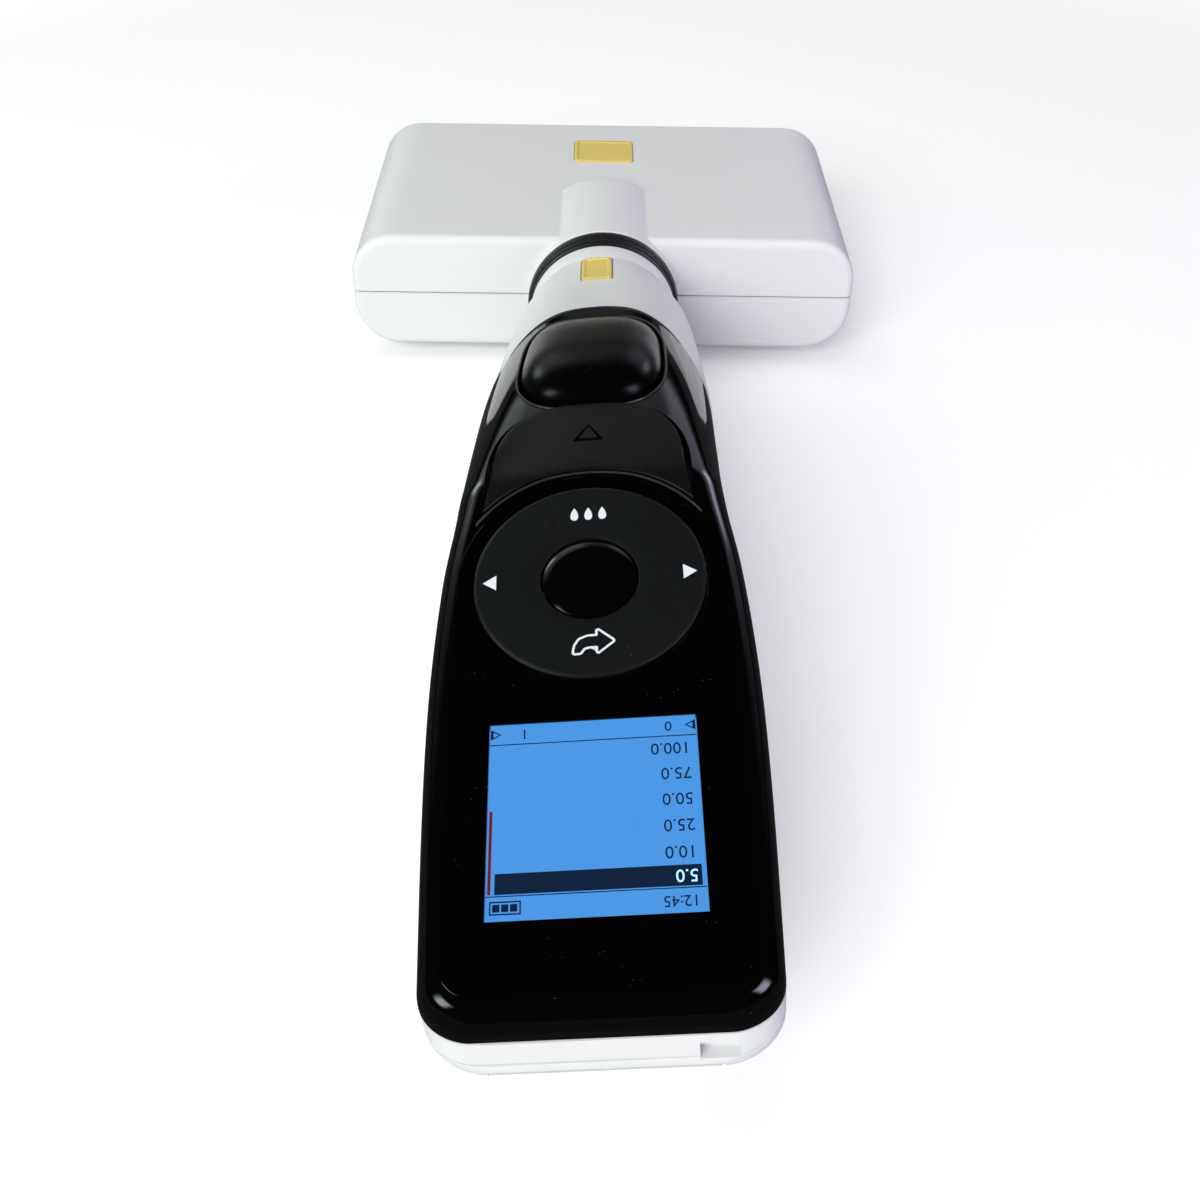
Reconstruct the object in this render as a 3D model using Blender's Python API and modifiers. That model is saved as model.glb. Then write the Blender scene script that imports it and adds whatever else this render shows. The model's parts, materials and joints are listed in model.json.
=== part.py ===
# Electronic multichannel pipette, lying on its back: a display handle with a
# motor drive, joined by a swivel neck to a wide head with twelve channels.
# Metres, +Z up. Y runs along the neck axis, from the display end to the tips.
# Inside the frames below, y = 0 is the head's near face and z = 0 the neck axis.

import bpy
import bmesh
from math import cos, pi, radians, sin, tan
from mathutils import Matrix, Vector

for old_object in list(bpy.data.objects):
    bpy.data.objects.remove(old_object, do_unlink=True)

# Clearances
GAP = 0.0003            # between pieces that touch
SEAM = 0.0003           # between the halves of a casing
BUTTON_GAP = 0.00035    # round a button

# Channel head
CHANNELS = 12
CHANNEL_PITCH = 0.009
HEAD_LENGTH = 0.070
HEAD_DEPTH = 0.028
HEAD_WALL = 0.002
HEAD_SIDE_ROOM = 0.0012         # between a push rod and the side wall
HEAD_SIDE_RADIUS = 0.0105
HEAD_EDGE_RADIUS = 0.0018
BOSS_RADIUS = 0.0172
BOSS_REACH = 0.028
BOSS_EDGE = 0.0015
STUB_LENGTH = 0.0022
PAD_WIDTH = 0.060
PAD_START = 0.014
PAD_LENGTH = 0.044
HEAD_BADGE_WIDTH = 0.0150
HEAD_BADGE_LENGTH = 0.0132
HEAD_BADGE_START = 0.0441
BADGE_THICKNESS = 0.0010
BADGE_PROUD = 0.0004

# Neck
RING_RADIUS = 0.0175
RING_LENGTH = 0.0055
RING_ROUND = 0.0012
COLLAR_RADIUS = 0.0166
COLLAR_LENGTH = 0.0055
NECK_GAP = 0.0004
TUBE_RADIUS = 0.011
TUBE_BORE = 0.009
TUBE_FLANGE_RADIUS = 0.014
TUBE_FLANGE = 0.002
BUSH_LENGTH = 0.010
CLIP_THICKNESS = 0.0014
CLIP_RADIUS = 0.0129
CLIP_GROOVE = 0.0008
TUBE_TAIL = 0.0008
NECK_BADGE_HALF = 0.00325
NECK_BADGE_START = -0.0262
NECK_BADGE_END = -0.0150

# Handle
HANDLE_ROLL = radians(5.5)      # how far the handle is turned on the neck
WALL = 0.002
TOP_WALL = 0.003
NECK_RADIUS = 0.0168
GRIP_HALF_WIDTH = 0.0213
WAIST_HALF_WIDTH = 0.0209
WHEEL_HALF_WIDTH = 0.0225
DISPLAY_HALF_WIDTH = 0.0235
END_HALF_WIDTH = 0.0226
END_CORNER = 0.0056             # seen from above
END_TOP_RADIUS = 0.0032
END_FOOT_RADIUS = 0.0036
SHOULDER_STEP = 0.0018
KEEL_STEP = 0.0013
GRIP_DEPTH = 0.0134             # below the neck axis
DISPLAY_FLOOR = 0.0030          # below the neck axis
BEND_Y = -0.119
GRIP_SWELL = 1.7                # how late the grip's top rises
PANEL_TILT = radians(14.43)
PANEL_Y = -0.1377               # touch wheel's centre
PANEL_Z = 0.0273
PANEL_END = 0.0035              # from the lens to the end
SECTION_STEP = 0.0100
CORNER_STEPS = 4
END_SHARES = (0.70, 0.45, 0.25, 0.09, 0.0)     # of the end corner, from the end
ZONE_MARGIN = 0.010             # how far a cutting form reaches past the handle
FASCIA_APEX_Y = -0.044
FASCIA_APEX_LENGTH = 0.023
FASCIA_HALF_WIDTH = 0.0215
FASCIA_DROP = 0.0048            # side seam below the panel
SHELL_DROP = 0.0096             # shell split below the panel

# Panel
LENS_HALF_WIDTH = 0.0195
LENS_LENGTH = 0.061
LENS_THICKNESS = 0.0012
LENS_CORNER = 0.004
WHEEL_RADIUS = 0.0170
WHEEL_THICKNESS = 0.002
WHEEL_PROUD = 0.0003
WHEEL_TILT_ROOM = 0.0007
GIMBAL_WIDTH = 0.0044
GIMBAL_THICKNESS = 0.0018
OK_RADIUS = 0.00685
OK_DOME = 0.0012
OK_DEPTH = 0.0032
DISPLAY_SIZE = 0.0278
DISPLAY_CENTRE = -0.0376
DISPLAY_FRAME = 0.0294
DISPLAY_DEEP = 0.0056
RUN_INNER_RADIUS = 0.0208
RUN_TIP_ANGLE = radians(40)
RUN_HALF_WIDTH = 0.0149
RUN_REACH = 0.041
RUN_MIDDLE = 0.022
RUN_PROUD = 0.0005
RUN_THICKNESS = 0.0023
BOARD_HALF_WIDTH = 0.017
BOARD_LENGTH = 0.072
BOARD_THICKNESS = 0.0016
BATTERY_WIDTH = 0.032
BATTERY_LENGTH = 0.042
BATTERY_THICKNESS = 0.006
BATTERY_OFFSET = 0.006          # from the board's end
DOOR_HALF_WIDTH = 0.0145
DOOR_LENGTH = 0.040
DOOR_LIP = 0.0025               # up the end face
SOCKET_WIDTH = 0.0050
SOCKET_HEIGHT = 0.0034
SOCKET_X = 0.0143
SOCKET_DROP = 0.0083
SOCKET_DEPTH = 0.006
SOCKET_WALL = 0.0008

# Ejector
RECESS_START = -0.0495
RECESS_END = -0.0953
BUTTON_WIDTH = 0.0255
BUTTON_LENGTH = 0.040
BUTTON_HEIGHT = 0.012
BUTTON_ROUND = 0.0058
BUTTON_Y = -0.072
BUTTON_TOP = 0.0305
BUTTON_SLOPE = radians(-15.5)
PIVOT_Y = -0.052
PIVOT_Z = 0.013
PIN_RADIUS = 0.00125
PIN_REACH = 0.0188
PIVOT_BOSS = 0.003
LEVER_NECK_LENGTH = 0.009
LEVER_NECK_HEIGHT = 0.007
PRONG_GAP = 0.015
PRONG_THICKNESS = 0.0025
PRONG_DEPTH = 0.0024
PRONG_FOOT = -0.008
SLEEVE_BORE = 0.0046
SLEEVE_RADIUS = 0.0064
SLEEVE_FLANGE = 0.002
SLEEVE_FLANGE_RADIUS = 0.010
SPRING_RADIUS = 0.0035
SPRING_WIRE = 0.00035
SPRING_TURNS = 4
SPRING_HEIGHT = 0.0080
SPRING_POINTS = 10
YOKE_THICKNESS = 0.0035
YOKE_HEIGHT = 0.005
YOKE_HUB = 0.009
ROD_RADIUS = 0.0012
ROD_SIDE_ROOM = 0.0006          # between a push rod and the cylinder block
YOKE_END = 0.001                # past a push rod's middle
EJECTOR_PLATE_END = 0.0024      # past a push rod's middle
EJECTOR_PLATE_THICKNESS = 0.0034
EJECTOR_PLATE_HEIGHT = 0.015

# Drive
MOTOR_RADIUS = 0.0095
MOTOR_LENGTH = 0.0175
MOTOR_BOSS = 0.004
MOUNT_Y = -0.084
MOUNT_THICKNESS = 0.003
MOUNT_TOP = 0.0116
SHELF_HALF_WIDTH = 0.006
SHELF_LENGTH = 0.012
SHELF_THICKNESS = 0.0016
SCREW_RADIUS = 0.002
SCREW_TIP = -0.053
NUT_RADIUS = 0.0042
NUT_LENGTH = 0.030
NUT_FLOOR = 0.002
DRIVE_RADIUS = 0.003
DISC_RADIUS = 0.0055
DISC_THICKNESS = 0.002
YOKE_START = 0.0075
PLATE_START = 0.016
PLATE_THICKNESS = 0.008
PLATE_HEIGHT = 0.012
PLATE_MARGIN = 0.0028           # past the last channel's axis
LIP_THICKNESS = 0.002
PISTON_RADIUS = 0.0026
PISTON_LENGTH = 0.0284
PISTON_SOCKET = 0.0027
SEAL_START = 0.0372
SEAL_THICKNESS = 0.0028
BLOCK_STEP = 0.0006             # from the nose's side to the block's
BLOCK_HEIGHT = 0.014
NOSE_MARGIN = 0.0027            # past the last channel's axis
NOSE_HEIGHT = 0.012
NOSE_PROUD = 0.0002
FITTING_BORE = 0.0008
FITTING_SPIGOT = 0.0015
FITTING_SPIGOT_LENGTH = 0.004
FITTING_SHOULDER = 0.0033
FITTING_SHOULDER_LENGTH = 0.0014
FITTING_TIP = 0.0023
FITTING_LENGTH = 0.0135
FITTING_HOLE = 0.0037

# Finger rest
HOOK_Y = -0.131
HOOK_Z = -0.0055
HOOK_RADIUS = 0.0110
HOOK_THICKNESS = 0.0036
HOOK_HALF_WIDTH = 0.008
HOOK_CURL = radians(38)
HOOK_ROOT = 0.010

# Places that follow from the sizes
HANDLE_LENGTH = -PANEL_Y + LENS_LENGTH * cos(PANEL_TILT) + PANEL_END
ROW_HALF_WIDTH = (CHANNELS - 1) / 2 * CHANNEL_PITCH
NOSE_HALF_WIDTH = ROW_HALF_WIDTH + NOSE_MARGIN
BLOCK_HALF_WIDTH = NOSE_HALF_WIDTH + BLOCK_STEP
PLATE_HALF_WIDTH = ROW_HALF_WIDTH + PLATE_MARGIN
ROD_X = BLOCK_HALF_WIDTH + ROD_SIDE_ROOM + ROD_RADIUS
YOKE_REACH = ROD_X + YOKE_END
EJECTOR_PLATE_WIDTH = 2 * (ROD_X + EJECTOR_PLATE_END)
HEAD_WIDTH = 2 * (ROD_X + ROD_RADIUS + HEAD_SIDE_ROOM + HEAD_WALL)
AXIS_HEIGHT = RING_RADIUS
RING_END = -STUB_LENGTH - GAP
RING_START = RING_END - RING_LENGTH
COLLAR_END = RING_START - GAP
COLLAR_START = COLLAR_END - COLLAR_LENGTH
NECK_Y = COLLAR_START - NECK_GAP
BUSH_END = NECK_Y - NECK_GAP
BUSH_START = BUSH_END - BUSH_LENGTH
CLIP_END = BUSH_START - NECK_GAP
CLIP_START = CLIP_END - CLIP_THICKNESS
TUBE_START = CLIP_START - TUBE_TAIL
TUBE_END = HEAD_WALL + GAP + TUBE_FLANGE
BORE_RADIUS = TUBE_RADIUS + GAP
FITTING_START = HEAD_LENGTH + NOSE_PROUD + GAP
FITTING_END = FITTING_START + FITTING_LENGTH
MIDDLE_Y = (FITTING_END - HANDLE_LENGTH) / 2
PLATE_END = PLATE_START + PLATE_THICKNESS
PISTON_START = PLATE_END - PISTON_SOCKET + GAP
PISTON_BORE = PISTON_RADIUS + GAP
BLOCK_START = SEAL_START + SEAL_THICKNESS + GAP
BLOCK_END = HEAD_LENGTH - HEAD_WALL - GAP
DISC_START = PLATE_START + LIP_THICKNESS + GAP
DISC_END = DISC_START + DISC_THICKNESS
EJECTOR_PLATE_START = HEAD_LENGTH + 2 * GAP
HEAD_BADGE_MIDDLE = HEAD_BADGE_START + HEAD_BADGE_LENGTH / 2
BOARD_TOP = -DISPLAY_DEEP - GAP
HOLLOW_START = NECK_Y + 0.005
HOLLOW_END = -HANDLE_LENGTH + WALL
SHOULDER_Y = NECK_Y - 0.010
SHOULDER_END = NECK_Y - 0.026
GRIP_END = BEND_Y + 0.019
GRIP_Y = (SHOULDER_END + GRIP_END) / 2
GRIP_MIDDLE = (GRIP_Y + GRIP_END) / 2 - 0.004
WAIST_Y = (GRIP_END + BEND_Y) / 2
WHEEL_Y = BEND_Y - 0.015
DISPLAY_Y = BEND_Y - 0.033
DISPLAY_END = -HANDLE_LENGTH + 0.030
BOARD_START = (HOLLOW_END + SOCKET_DEPTH + GAP - PANEL_Y) / cos(PANEL_TILT)


# Materials

def material(name, colour, roughness, metallic=0.0):
    new_material = bpy.data.materials.new(name)
    new_material.use_nodes = True
    shader = new_material.node_tree.nodes["Principled BSDF"]
    shader.inputs["Base Color"].default_value = (*colour, 1.0)
    shader.inputs["Roughness"].default_value = roughness
    shader.inputs["Metallic"].default_value = metallic
    return new_material


COLOURS = {
    "white": ((0.86, 0.87, 0.88), 0.35, 0.0),
    "gloss_black": ((0.012, 0.012, 0.014), 0.08, 0.0),
    "satin_black": ((0.022, 0.022, 0.024), 0.42, 0.0),
    "yellow": ((0.78, 0.58, 0.22), 0.40, 0.0),
    "display": ((0.10, 0.38, 0.85), 0.20, 0.0),
    "board": ((0.03, 0.22, 0.10), 0.50, 0.0),
    "battery": ((0.20, 0.22, 0.26), 0.50, 0.0),
    "steel": ((0.62, 0.62, 0.64), 0.25, 1.0),
    "brass": ((0.80, 0.62, 0.30), 0.30, 1.0),
    "grey": ((0.45, 0.46, 0.48), 0.45, 0.0),
    "rubber": ((0.05, 0.05, 0.05), 0.75, 0.0),
}


# Collections and frames

parts = bpy.data.collections.new("multichannel_pipette")
cutters = bpy.data.collections.new("cutters")
bpy.context.scene.collection.children.link(parts)
bpy.context.scene.collection.children.link(cutters)


def frame(name, place, turn=(0.0, 0.0, 0.0), parent=None):
    empty = bpy.data.objects.new(name, None)
    empty.location = place
    empty.rotation_euler = turn
    empty.parent = parent
    parts.objects.link(empty)
    return empty


HEAD = frame("head_frame", (0.0, -MIDDLE_Y, AXIS_HEIGHT))
HANDLE = frame("handle_frame", (0.0, -MIDDLE_Y, AXIS_HEIGHT), (0.0, -HANDLE_ROLL, 0.0))
PANEL = frame("panel_frame", (0.0, PANEL_Y, PANEL_Z), (PANEL_TILT, 0.0, 0.0), HANDLE)


# Building blocks. Each returns an object in the given frame.

def new_object(name, mesh, parent):
    piece = bpy.data.objects.new(name, mesh)
    piece.parent = parent
    cutters.objects.link(piece)
    piece.hide_render = True
    piece.display_type = "WIRE"
    return piece


def finish(piece, colour, smooth=True):
    # Moves a shape from the cutters to the parts and gives it its material
    cutters.objects.unlink(piece)
    parts.objects.link(piece)
    piece.hide_render = False
    piece.display_type = "TEXTURED"
    piece.data.materials.clear()
    piece.data.materials.append(material(piece.name, *COLOURS[colour]))
    if smooth:
        piece.data.shade_smooth()
        piece.data.set_sharp_from_angle(angle=radians(35))
    return piece


def mesh_from(name, shape):
    bmesh.ops.recalc_face_normals(shape, faces=shape.faces)
    mesh = bpy.data.meshes.new(name)
    shape.to_mesh(mesh)
    shape.free()
    return mesh


def box(name, parent, low, high):
    shape = bmesh.new()
    size = Vector(high) - Vector(low)
    middle = (Vector(high) + Vector(low)) / 2
    bmesh.ops.create_cube(shape, size=1.0)
    bmesh.ops.scale(shape, vec=size, verts=shape.verts)
    bmesh.ops.translate(shape, vec=middle, verts=shape.verts)
    return new_object(name, mesh_from(name, shape), parent)


def rounded(piece, width, segments=2, angle=50.0):
    bevel = piece.modifiers.new("rounded", "BEVEL")
    bevel.width = width
    bevel.segments = segments
    bevel.limit_method = "ANGLE"
    bevel.angle_limit = radians(angle)
    return piece


def combine(piece, other, operation="DIFFERENCE", solver="EXACT"):
    boolean = piece.modifiers.new(operation.lower(), "BOOLEAN")
    boolean.operation = operation
    boolean.solver = solver
    boolean.object = other
    return piece


def turned(name, parent, profile, segments, place=(0.0, 0.0, 0.0), along="Y"):
    # Profile points are (radius, distance along the axis), far end first,
    # down the outer side; a tube's profile returns to its first point
    mesh = bpy.data.meshes.new(name)
    closed = profile[0][0] > 0.0
    points = [(radius, 0.0, distance) for radius, distance in profile]
    count = len(points)
    edges = [(index, index + 1) for index in range(count - 1)]
    if closed:
        edges.append((count - 1, 0))
    mesh.from_pydata(points, edges, [])
    piece = new_object(name, mesh, parent)
    screw = piece.modifiers.new("turned", "SCREW")
    screw.axis = "Z"
    screw.steps = segments
    screw.render_steps = segments
    screw.use_merge_vertices = True
    screw.merge_threshold = 0.000005
    piece.location = place
    if along == "Y":
        piece.rotation_euler = (-pi / 2, 0.0, 0.0)
    if along == "X":
        piece.rotation_euler = (0.0, pi / 2, 0.0)
    return piece


def tube_profile(inner, outer, start, end, edge=0.0):
    if edge == 0.0:
        return [(outer, end), (outer, start), (inner, start), (inner, end)]
    return [
        (outer - edge, end),
        (outer - edge * (1 - sin(pi / 4)), end - edge * (1 - cos(pi / 4))),
        (outer, end - edge),
        (outer, start + edge),
        (outer - edge * (1 - sin(pi / 4)), start + edge * (1 - cos(pi / 4))),
        (outer - edge, start),
        (inner, start),
        (inner, end),
    ]


def rod_profile(radius, start, end, edge=0.0):
    if edge == 0.0:
        return [(0.0, end), (radius, end), (radius, start), (0.0, start)]
    return [(0.0, end), (radius - edge, end), (radius, end - edge), (radius, start), (0.0, start)]


def rod(name, parent, radius, start, end, segments=20, place=(0.0, 0.0, 0.0), along="Y", edge=0.0):
    return turned(name, parent, rod_profile(radius, start, end, edge), segments, place, along)


def row_of_rods(name, radius, start, end, segments=10):
    # One rod on each channel's axis, as a single cutter
    shape = bmesh.new()
    lie_down = Matrix.Rotation(-pi / 2, 4, "X")
    for channel in range(CHANNELS):
        middle = Matrix.Translation((channel_x(channel), (start + end) / 2, 0.0))
        bmesh.ops.create_cone(shape, cap_ends=True, segments=segments, radius1=radius,
                              radius2=radius, depth=end - start, matrix=middle @ lie_down)
    return new_object(name, mesh_from(name, shape), HEAD)


def channel_x(channel):
    return (channel - (CHANNELS - 1) / 2) * CHANNEL_PITCH


def plate(name, parent, outlines, low, high):
    # A flat sheet from one outline, with any further outlines as holes
    curve = bpy.data.curves.new(name, "CURVE")
    curve.dimensions = "2D"
    curve.fill_mode = "BOTH"
    curve.extrude = (high - low) / 2
    for outline in outlines:
        spline = curve.splines.new("POLY")
        spline.points.add(len(outline) - 1)
        for point, (across, along) in zip(spline.points, outline):
            point.co = (across, along, 0.0, 1.0)
        spline.use_cyclic_u = True
    holder = bpy.data.objects.new(name + "_outline", curve)
    cutters.objects.link(holder)
    evaluated = holder.evaluated_get(bpy.context.evaluated_depsgraph_get())
    mesh = bpy.data.meshes.new_from_object(evaluated)
    bpy.data.objects.remove(holder, do_unlink=True)
    shape = bmesh.new()
    shape.from_mesh(mesh)
    bmesh.ops.remove_doubles(shape, verts=shape.verts, dist=0.00001)
    bmesh.ops.translate(shape, vec=(0.0, 0.0, (low + high) / 2), verts=shape.verts)
    return new_object(name, mesh_from(name, shape), parent)


def arc(centre, radius, start, end, steps):
    angles = [start + (end - start) * step / steps for step in range(steps + 1)]
    return [(centre[0] + radius * cos(angle), centre[1] + radius * sin(angle)) for angle in angles]


def circle(centre, radius, steps):
    return arc(centre, radius, 0.0, 2 * pi * (steps - 1) / steps, steps - 1)


def round_rectangle(half_width, low, high, radius, steps=4):
    corners = [(half_width - radius, high - radius), (-half_width + radius, high - radius),
               (-half_width + radius, low + radius), (half_width - radius, low + radius)]
    outline = []
    for quarter, corner in enumerate(corners):
        outline += arc(corner, radius, quarter * pi / 2, (quarter + 1) * pi / 2, steps)
    return outline


def loft(name, parent, sections):
    # A closed skin through sections with the same number of points
    shape = bmesh.new()
    rings = [[shape.verts.new(point) for point in section] for section in sections]
    count = len(rings[0])
    for ring, following in zip(rings, rings[1:]):
        for index in range(count):
            after = (index + 1) % count
            shape.faces.new((ring[index], ring[after], following[after], following[index]))
    shape.faces.new(rings[0])
    shape.faces.new(rings[-1])
    return new_object(name, mesh_from(name, shape), parent)


# The handle's form

def along_curve(stations, y):
    # Smooth curve through (y, value) stations that run towards the display end
    if y >= stations[0][0]:
        return stations[0][1]
    if y <= stations[-1][0]:
        return stations[-1][1]
    slopes = []
    for index in range(len(stations)):
        before = stations[max(index - 1, 0)]
        after = stations[min(index + 1, len(stations) - 1)]
        slopes.append((after[1] - before[1]) / (after[0] - before[0]))
    for index in range(len(stations) - 1):
        (start, low), (end, high) = stations[index], stations[index + 1]
        if end <= y:
            span = end - start
            t = (y - start) / span
            return ((2 * t**3 - 3 * t**2 + 1) * low + (t**3 - 2 * t**2 + t) * span * slopes[index]
                    + (3 * t**2 - 2 * t**3) * high + (t**3 - t**2) * span * slopes[index + 1])
    return stations[-1][1]


def panel_height(y):
    return PANEL_Z + (y - PANEL_Y) * tan(PANEL_TILT)


def top_height(y):
    if y <= BEND_Y:
        return panel_height(y)
    share = max(0.0, (NECK_Y - y) / (NECK_Y - BEND_Y))
    return NECK_RADIUS + (panel_height(BEND_Y) - NECK_RADIUS) * sin(share * pi / 2) ** GRIP_SWELL


HANDLE_END = -HANDLE_LENGTH
WIDTHS = [(NECK_Y, NECK_RADIUS), (SHOULDER_Y, GRIP_HALF_WIDTH - SHOULDER_STEP),
          (SHOULDER_END, GRIP_HALF_WIDTH - SHOULDER_STEP / 3), (GRIP_Y, GRIP_HALF_WIDTH),
          (GRIP_END, WAIST_HALF_WIDTH), (BEND_Y, WAIST_HALF_WIDTH), (WHEEL_Y, WHEEL_HALF_WIDTH),
          (DISPLAY_Y, DISPLAY_HALF_WIDTH), (DISPLAY_END, DISPLAY_HALF_WIDTH), (HANDLE_END, END_HALF_WIDTH)]
BOTTOMS = [(NECK_Y, -NECK_RADIUS), (SHOULDER_END, -GRIP_DEPTH - KEEL_STEP), (GRIP_Y, -GRIP_DEPTH),
           (GRIP_END, -GRIP_DEPTH + KEEL_STEP), (BEND_Y, -(GRIP_DEPTH + DISPLAY_FLOOR) / 2),
           (WHEEL_Y, -DISPLAY_FLOOR), (HANDLE_END, -DISPLAY_FLOOR)]
UPPER_RADII = [(NECK_Y, NECK_RADIUS - 0.0001), (SHOULDER_END, 0.0160), (GRIP_Y, 0.0135),
               (GRIP_END, 0.0095), (BEND_Y, 0.0062), (PANEL_Y, 0.0048), (HANDLE_END, 0.0045)]
LOWER_RADII = [(NECK_Y, NECK_RADIUS - 0.0001), (SHOULDER_END, 0.0150), (GRIP_END, 0.0130),
               (WHEEL_Y, 0.0080), (DISPLAY_Y, 0.0065), (HANDLE_END, 0.0055)]
FASCIA_SEAM = [(FASCIA_APEX_Y, 0.0120), (GRIP_Y, 0.0128), (GRIP_MIDDLE, 0.0165), (WAIST_Y, 0.0205),
               (PANEL_Y, panel_height(PANEL_Y) - FASCIA_DROP),
               (DISPLAY_Y, panel_height(DISPLAY_Y) - FASCIA_DROP),
               (HANDLE_END, panel_height(HANDLE_END) - FASCIA_DROP)]
SHELL_SPLIT = [(NECK_Y, 0.0), (SHOULDER_END, 0.0008), (GRIP_MIDDLE, 0.0060), (BEND_Y, 0.0135),
               (DISPLAY_Y, panel_height(DISPLAY_Y) - SHELL_DROP),
               (HANDLE_END, panel_height(HANDLE_END) - SHELL_DROP)]


def drawn_in(radius, inset, distance):
    # How far a rounding before a wall draws a side in, at a distance from that wall
    radius = max(radius - inset, 0.0006)
    reach = max(radius - distance, 0.0)
    return radius - (radius**2 - reach**2) ** 0.5


def handle_section(y, inset, top_inset, end):
    # Rounded outline across the handle at y, drawn in by the insets
    distance = y - end
    over = drawn_in(END_TOP_RADIUS, inset, distance)
    under = drawn_in(END_FOOT_RADIUS, inset, distance)
    half_width = along_curve(WIDTHS, y) - inset - drawn_in(END_CORNER, inset, distance)
    top = top_height(y) - max(inset, top_inset) - over
    bottom = along_curve(BOTTOMS, y) + inset + under
    upper = min(along_curve(UPPER_RADII, y) - inset - over, half_width - 0.00005)
    lower = min(along_curve(LOWER_RADII, y) - inset - under, half_width - 0.00005)
    most = top - bottom - 0.0001
    if upper + lower > most:
        upper, lower = upper * most / (upper + lower), lower * most / (upper + lower)
    corners = [(half_width - upper, top - upper, upper), (-half_width + upper, top - upper, upper),
               (-half_width + lower, bottom + lower, lower), (half_width - lower, bottom + lower, lower)]
    points = []
    for quarter, (across, height, radius) in enumerate(corners):
        points += arc((across, height), radius, quarter * pi / 2, (quarter + 1) * pi / 2, CORNER_STEPS)
    return [(across, y, height) for across, height in points]


def handle_form(name, inset=0.0, top_inset=0.0, start=NECK_Y, end=HANDLE_END):
    last = end + END_CORNER
    count = round((start - last) / SECTION_STEP)
    places = [start + (last - start) * step / count for step in range(count + 1)]
    places += [end + END_CORNER * share for share in END_SHARES]
    return loft(name, HANDLE, [handle_section(y, inset, top_inset, end) for y in places])


def zone(name, grow, floor, half_width_at, start, reach=0.060):
    # Everything above a side line and inside a plan outline, grown by a clearance
    sections = []
    for y in start:
        half = half_width_at(y) + grow
        low = floor(y) - grow
        sections.append([(half, y, low), (half, y, reach), (-half, y, reach), (-half, y, low)])
    return loft(name, HANDLE, sections)


def fascia_zone(name, grow):
    stations = []
    steps = 9
    for step in range(steps + 1):
        angle = radians(6) + (pi / 2 - radians(6)) * step / steps
        back = FASCIA_APEX_LENGTH * (1 - cos(angle) ** (2 / 3))
        stations.append((FASCIA_APEX_Y - back, FASCIA_HALF_WIDTH * sin(angle) ** (2 / 3)))
    apex_end = stations[-1][0]
    step_out = apex_end - 0.002
    widths = stations + [(step_out, 2 * FASCIA_HALF_WIDTH)]
    places = [y for y, width in widths]
    count = 12
    finish_y = HANDLE_END - ZONE_MARGIN
    places += [step_out + (finish_y - step_out) * step / count for step in range(1, count + 1)]
    table = dict(widths)
    first = places[0]
    places[0] = first + grow
    table[places[0]] = table[first]
    return zone(name, grow, lambda y: along_curve(FASCIA_SEAM, y),
                lambda y: table.get(y, 2 * FASCIA_HALF_WIDTH), places)


def shell_zone(name, grow):
    count = 18
    first, last = NECK_Y + ZONE_MARGIN, HANDLE_END - ZONE_MARGIN
    places = [first + (last - first) * step / count for step in range(count + 1)]
    return zone(name, grow, lambda y: along_curve(SHELL_SPLIT, y), lambda y: 0.050, places)


def grown(outline, grow):
    # An anticlockwise outline moved outwards, with mitred corners
    moved = []
    for index, point in enumerate(outline):
        here = Vector(point)
        before = here - Vector(outline[index - 1])
        after = Vector(outline[(index + 1) % len(outline)]) - here
        out_before = Vector((before.y, -before.x)).normalized()
        out_after = Vector((after.y, -after.x)).normalized()
        middle = (out_before + out_after).normalized()
        moved.append(tuple(here + middle * grow / max(middle.dot(out_before), 0.35)))
    return moved


def run_outline(grow):
    # Crescent round the wheel, in panel coordinates
    outline = arc((0.0, 0.0), RUN_INNER_RADIUS, pi - RUN_TIP_ANGLE, RUN_TIP_ANGLE, 12)
    steps = 14
    for step in range(steps + 1):
        angle = pi * step / steps
        side = 1 if cos(angle) > 0 else -1
        across = RUN_HALF_WIDTH * side * abs(cos(angle)) ** 0.8
        outline.append((across, RUN_MIDDLE + (RUN_REACH - RUN_MIDDLE) * sin(angle) ** 0.8))
    return grown(outline, grow)


# Cutting forms for the handle
hollow_form = handle_form("hollow_form", WALL, WALL, HOLLOW_START, HOLLOW_END)
fascia_hollow = handle_form("fascia_hollow", WALL, TOP_WALL, HOLLOW_START, HOLLOW_END)
fascia_inside = fascia_zone("fascia_inside", -SEAM / 2)
fascia_outside = fascia_zone("fascia_outside", SEAM / 2)
upper_inside = shell_zone("upper_inside", -SEAM / 2)
upper_outside = shell_zone("upper_outside", SEAM / 2)
pin_hole = rod("pin_hole", HANDLE, PIN_RADIUS + GAP, -PIN_REACH - GAP, PIN_REACH + GAP, 12,
               (0.0, PIVOT_Y, PIVOT_Z), "X")


# Casing of the handle

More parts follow.
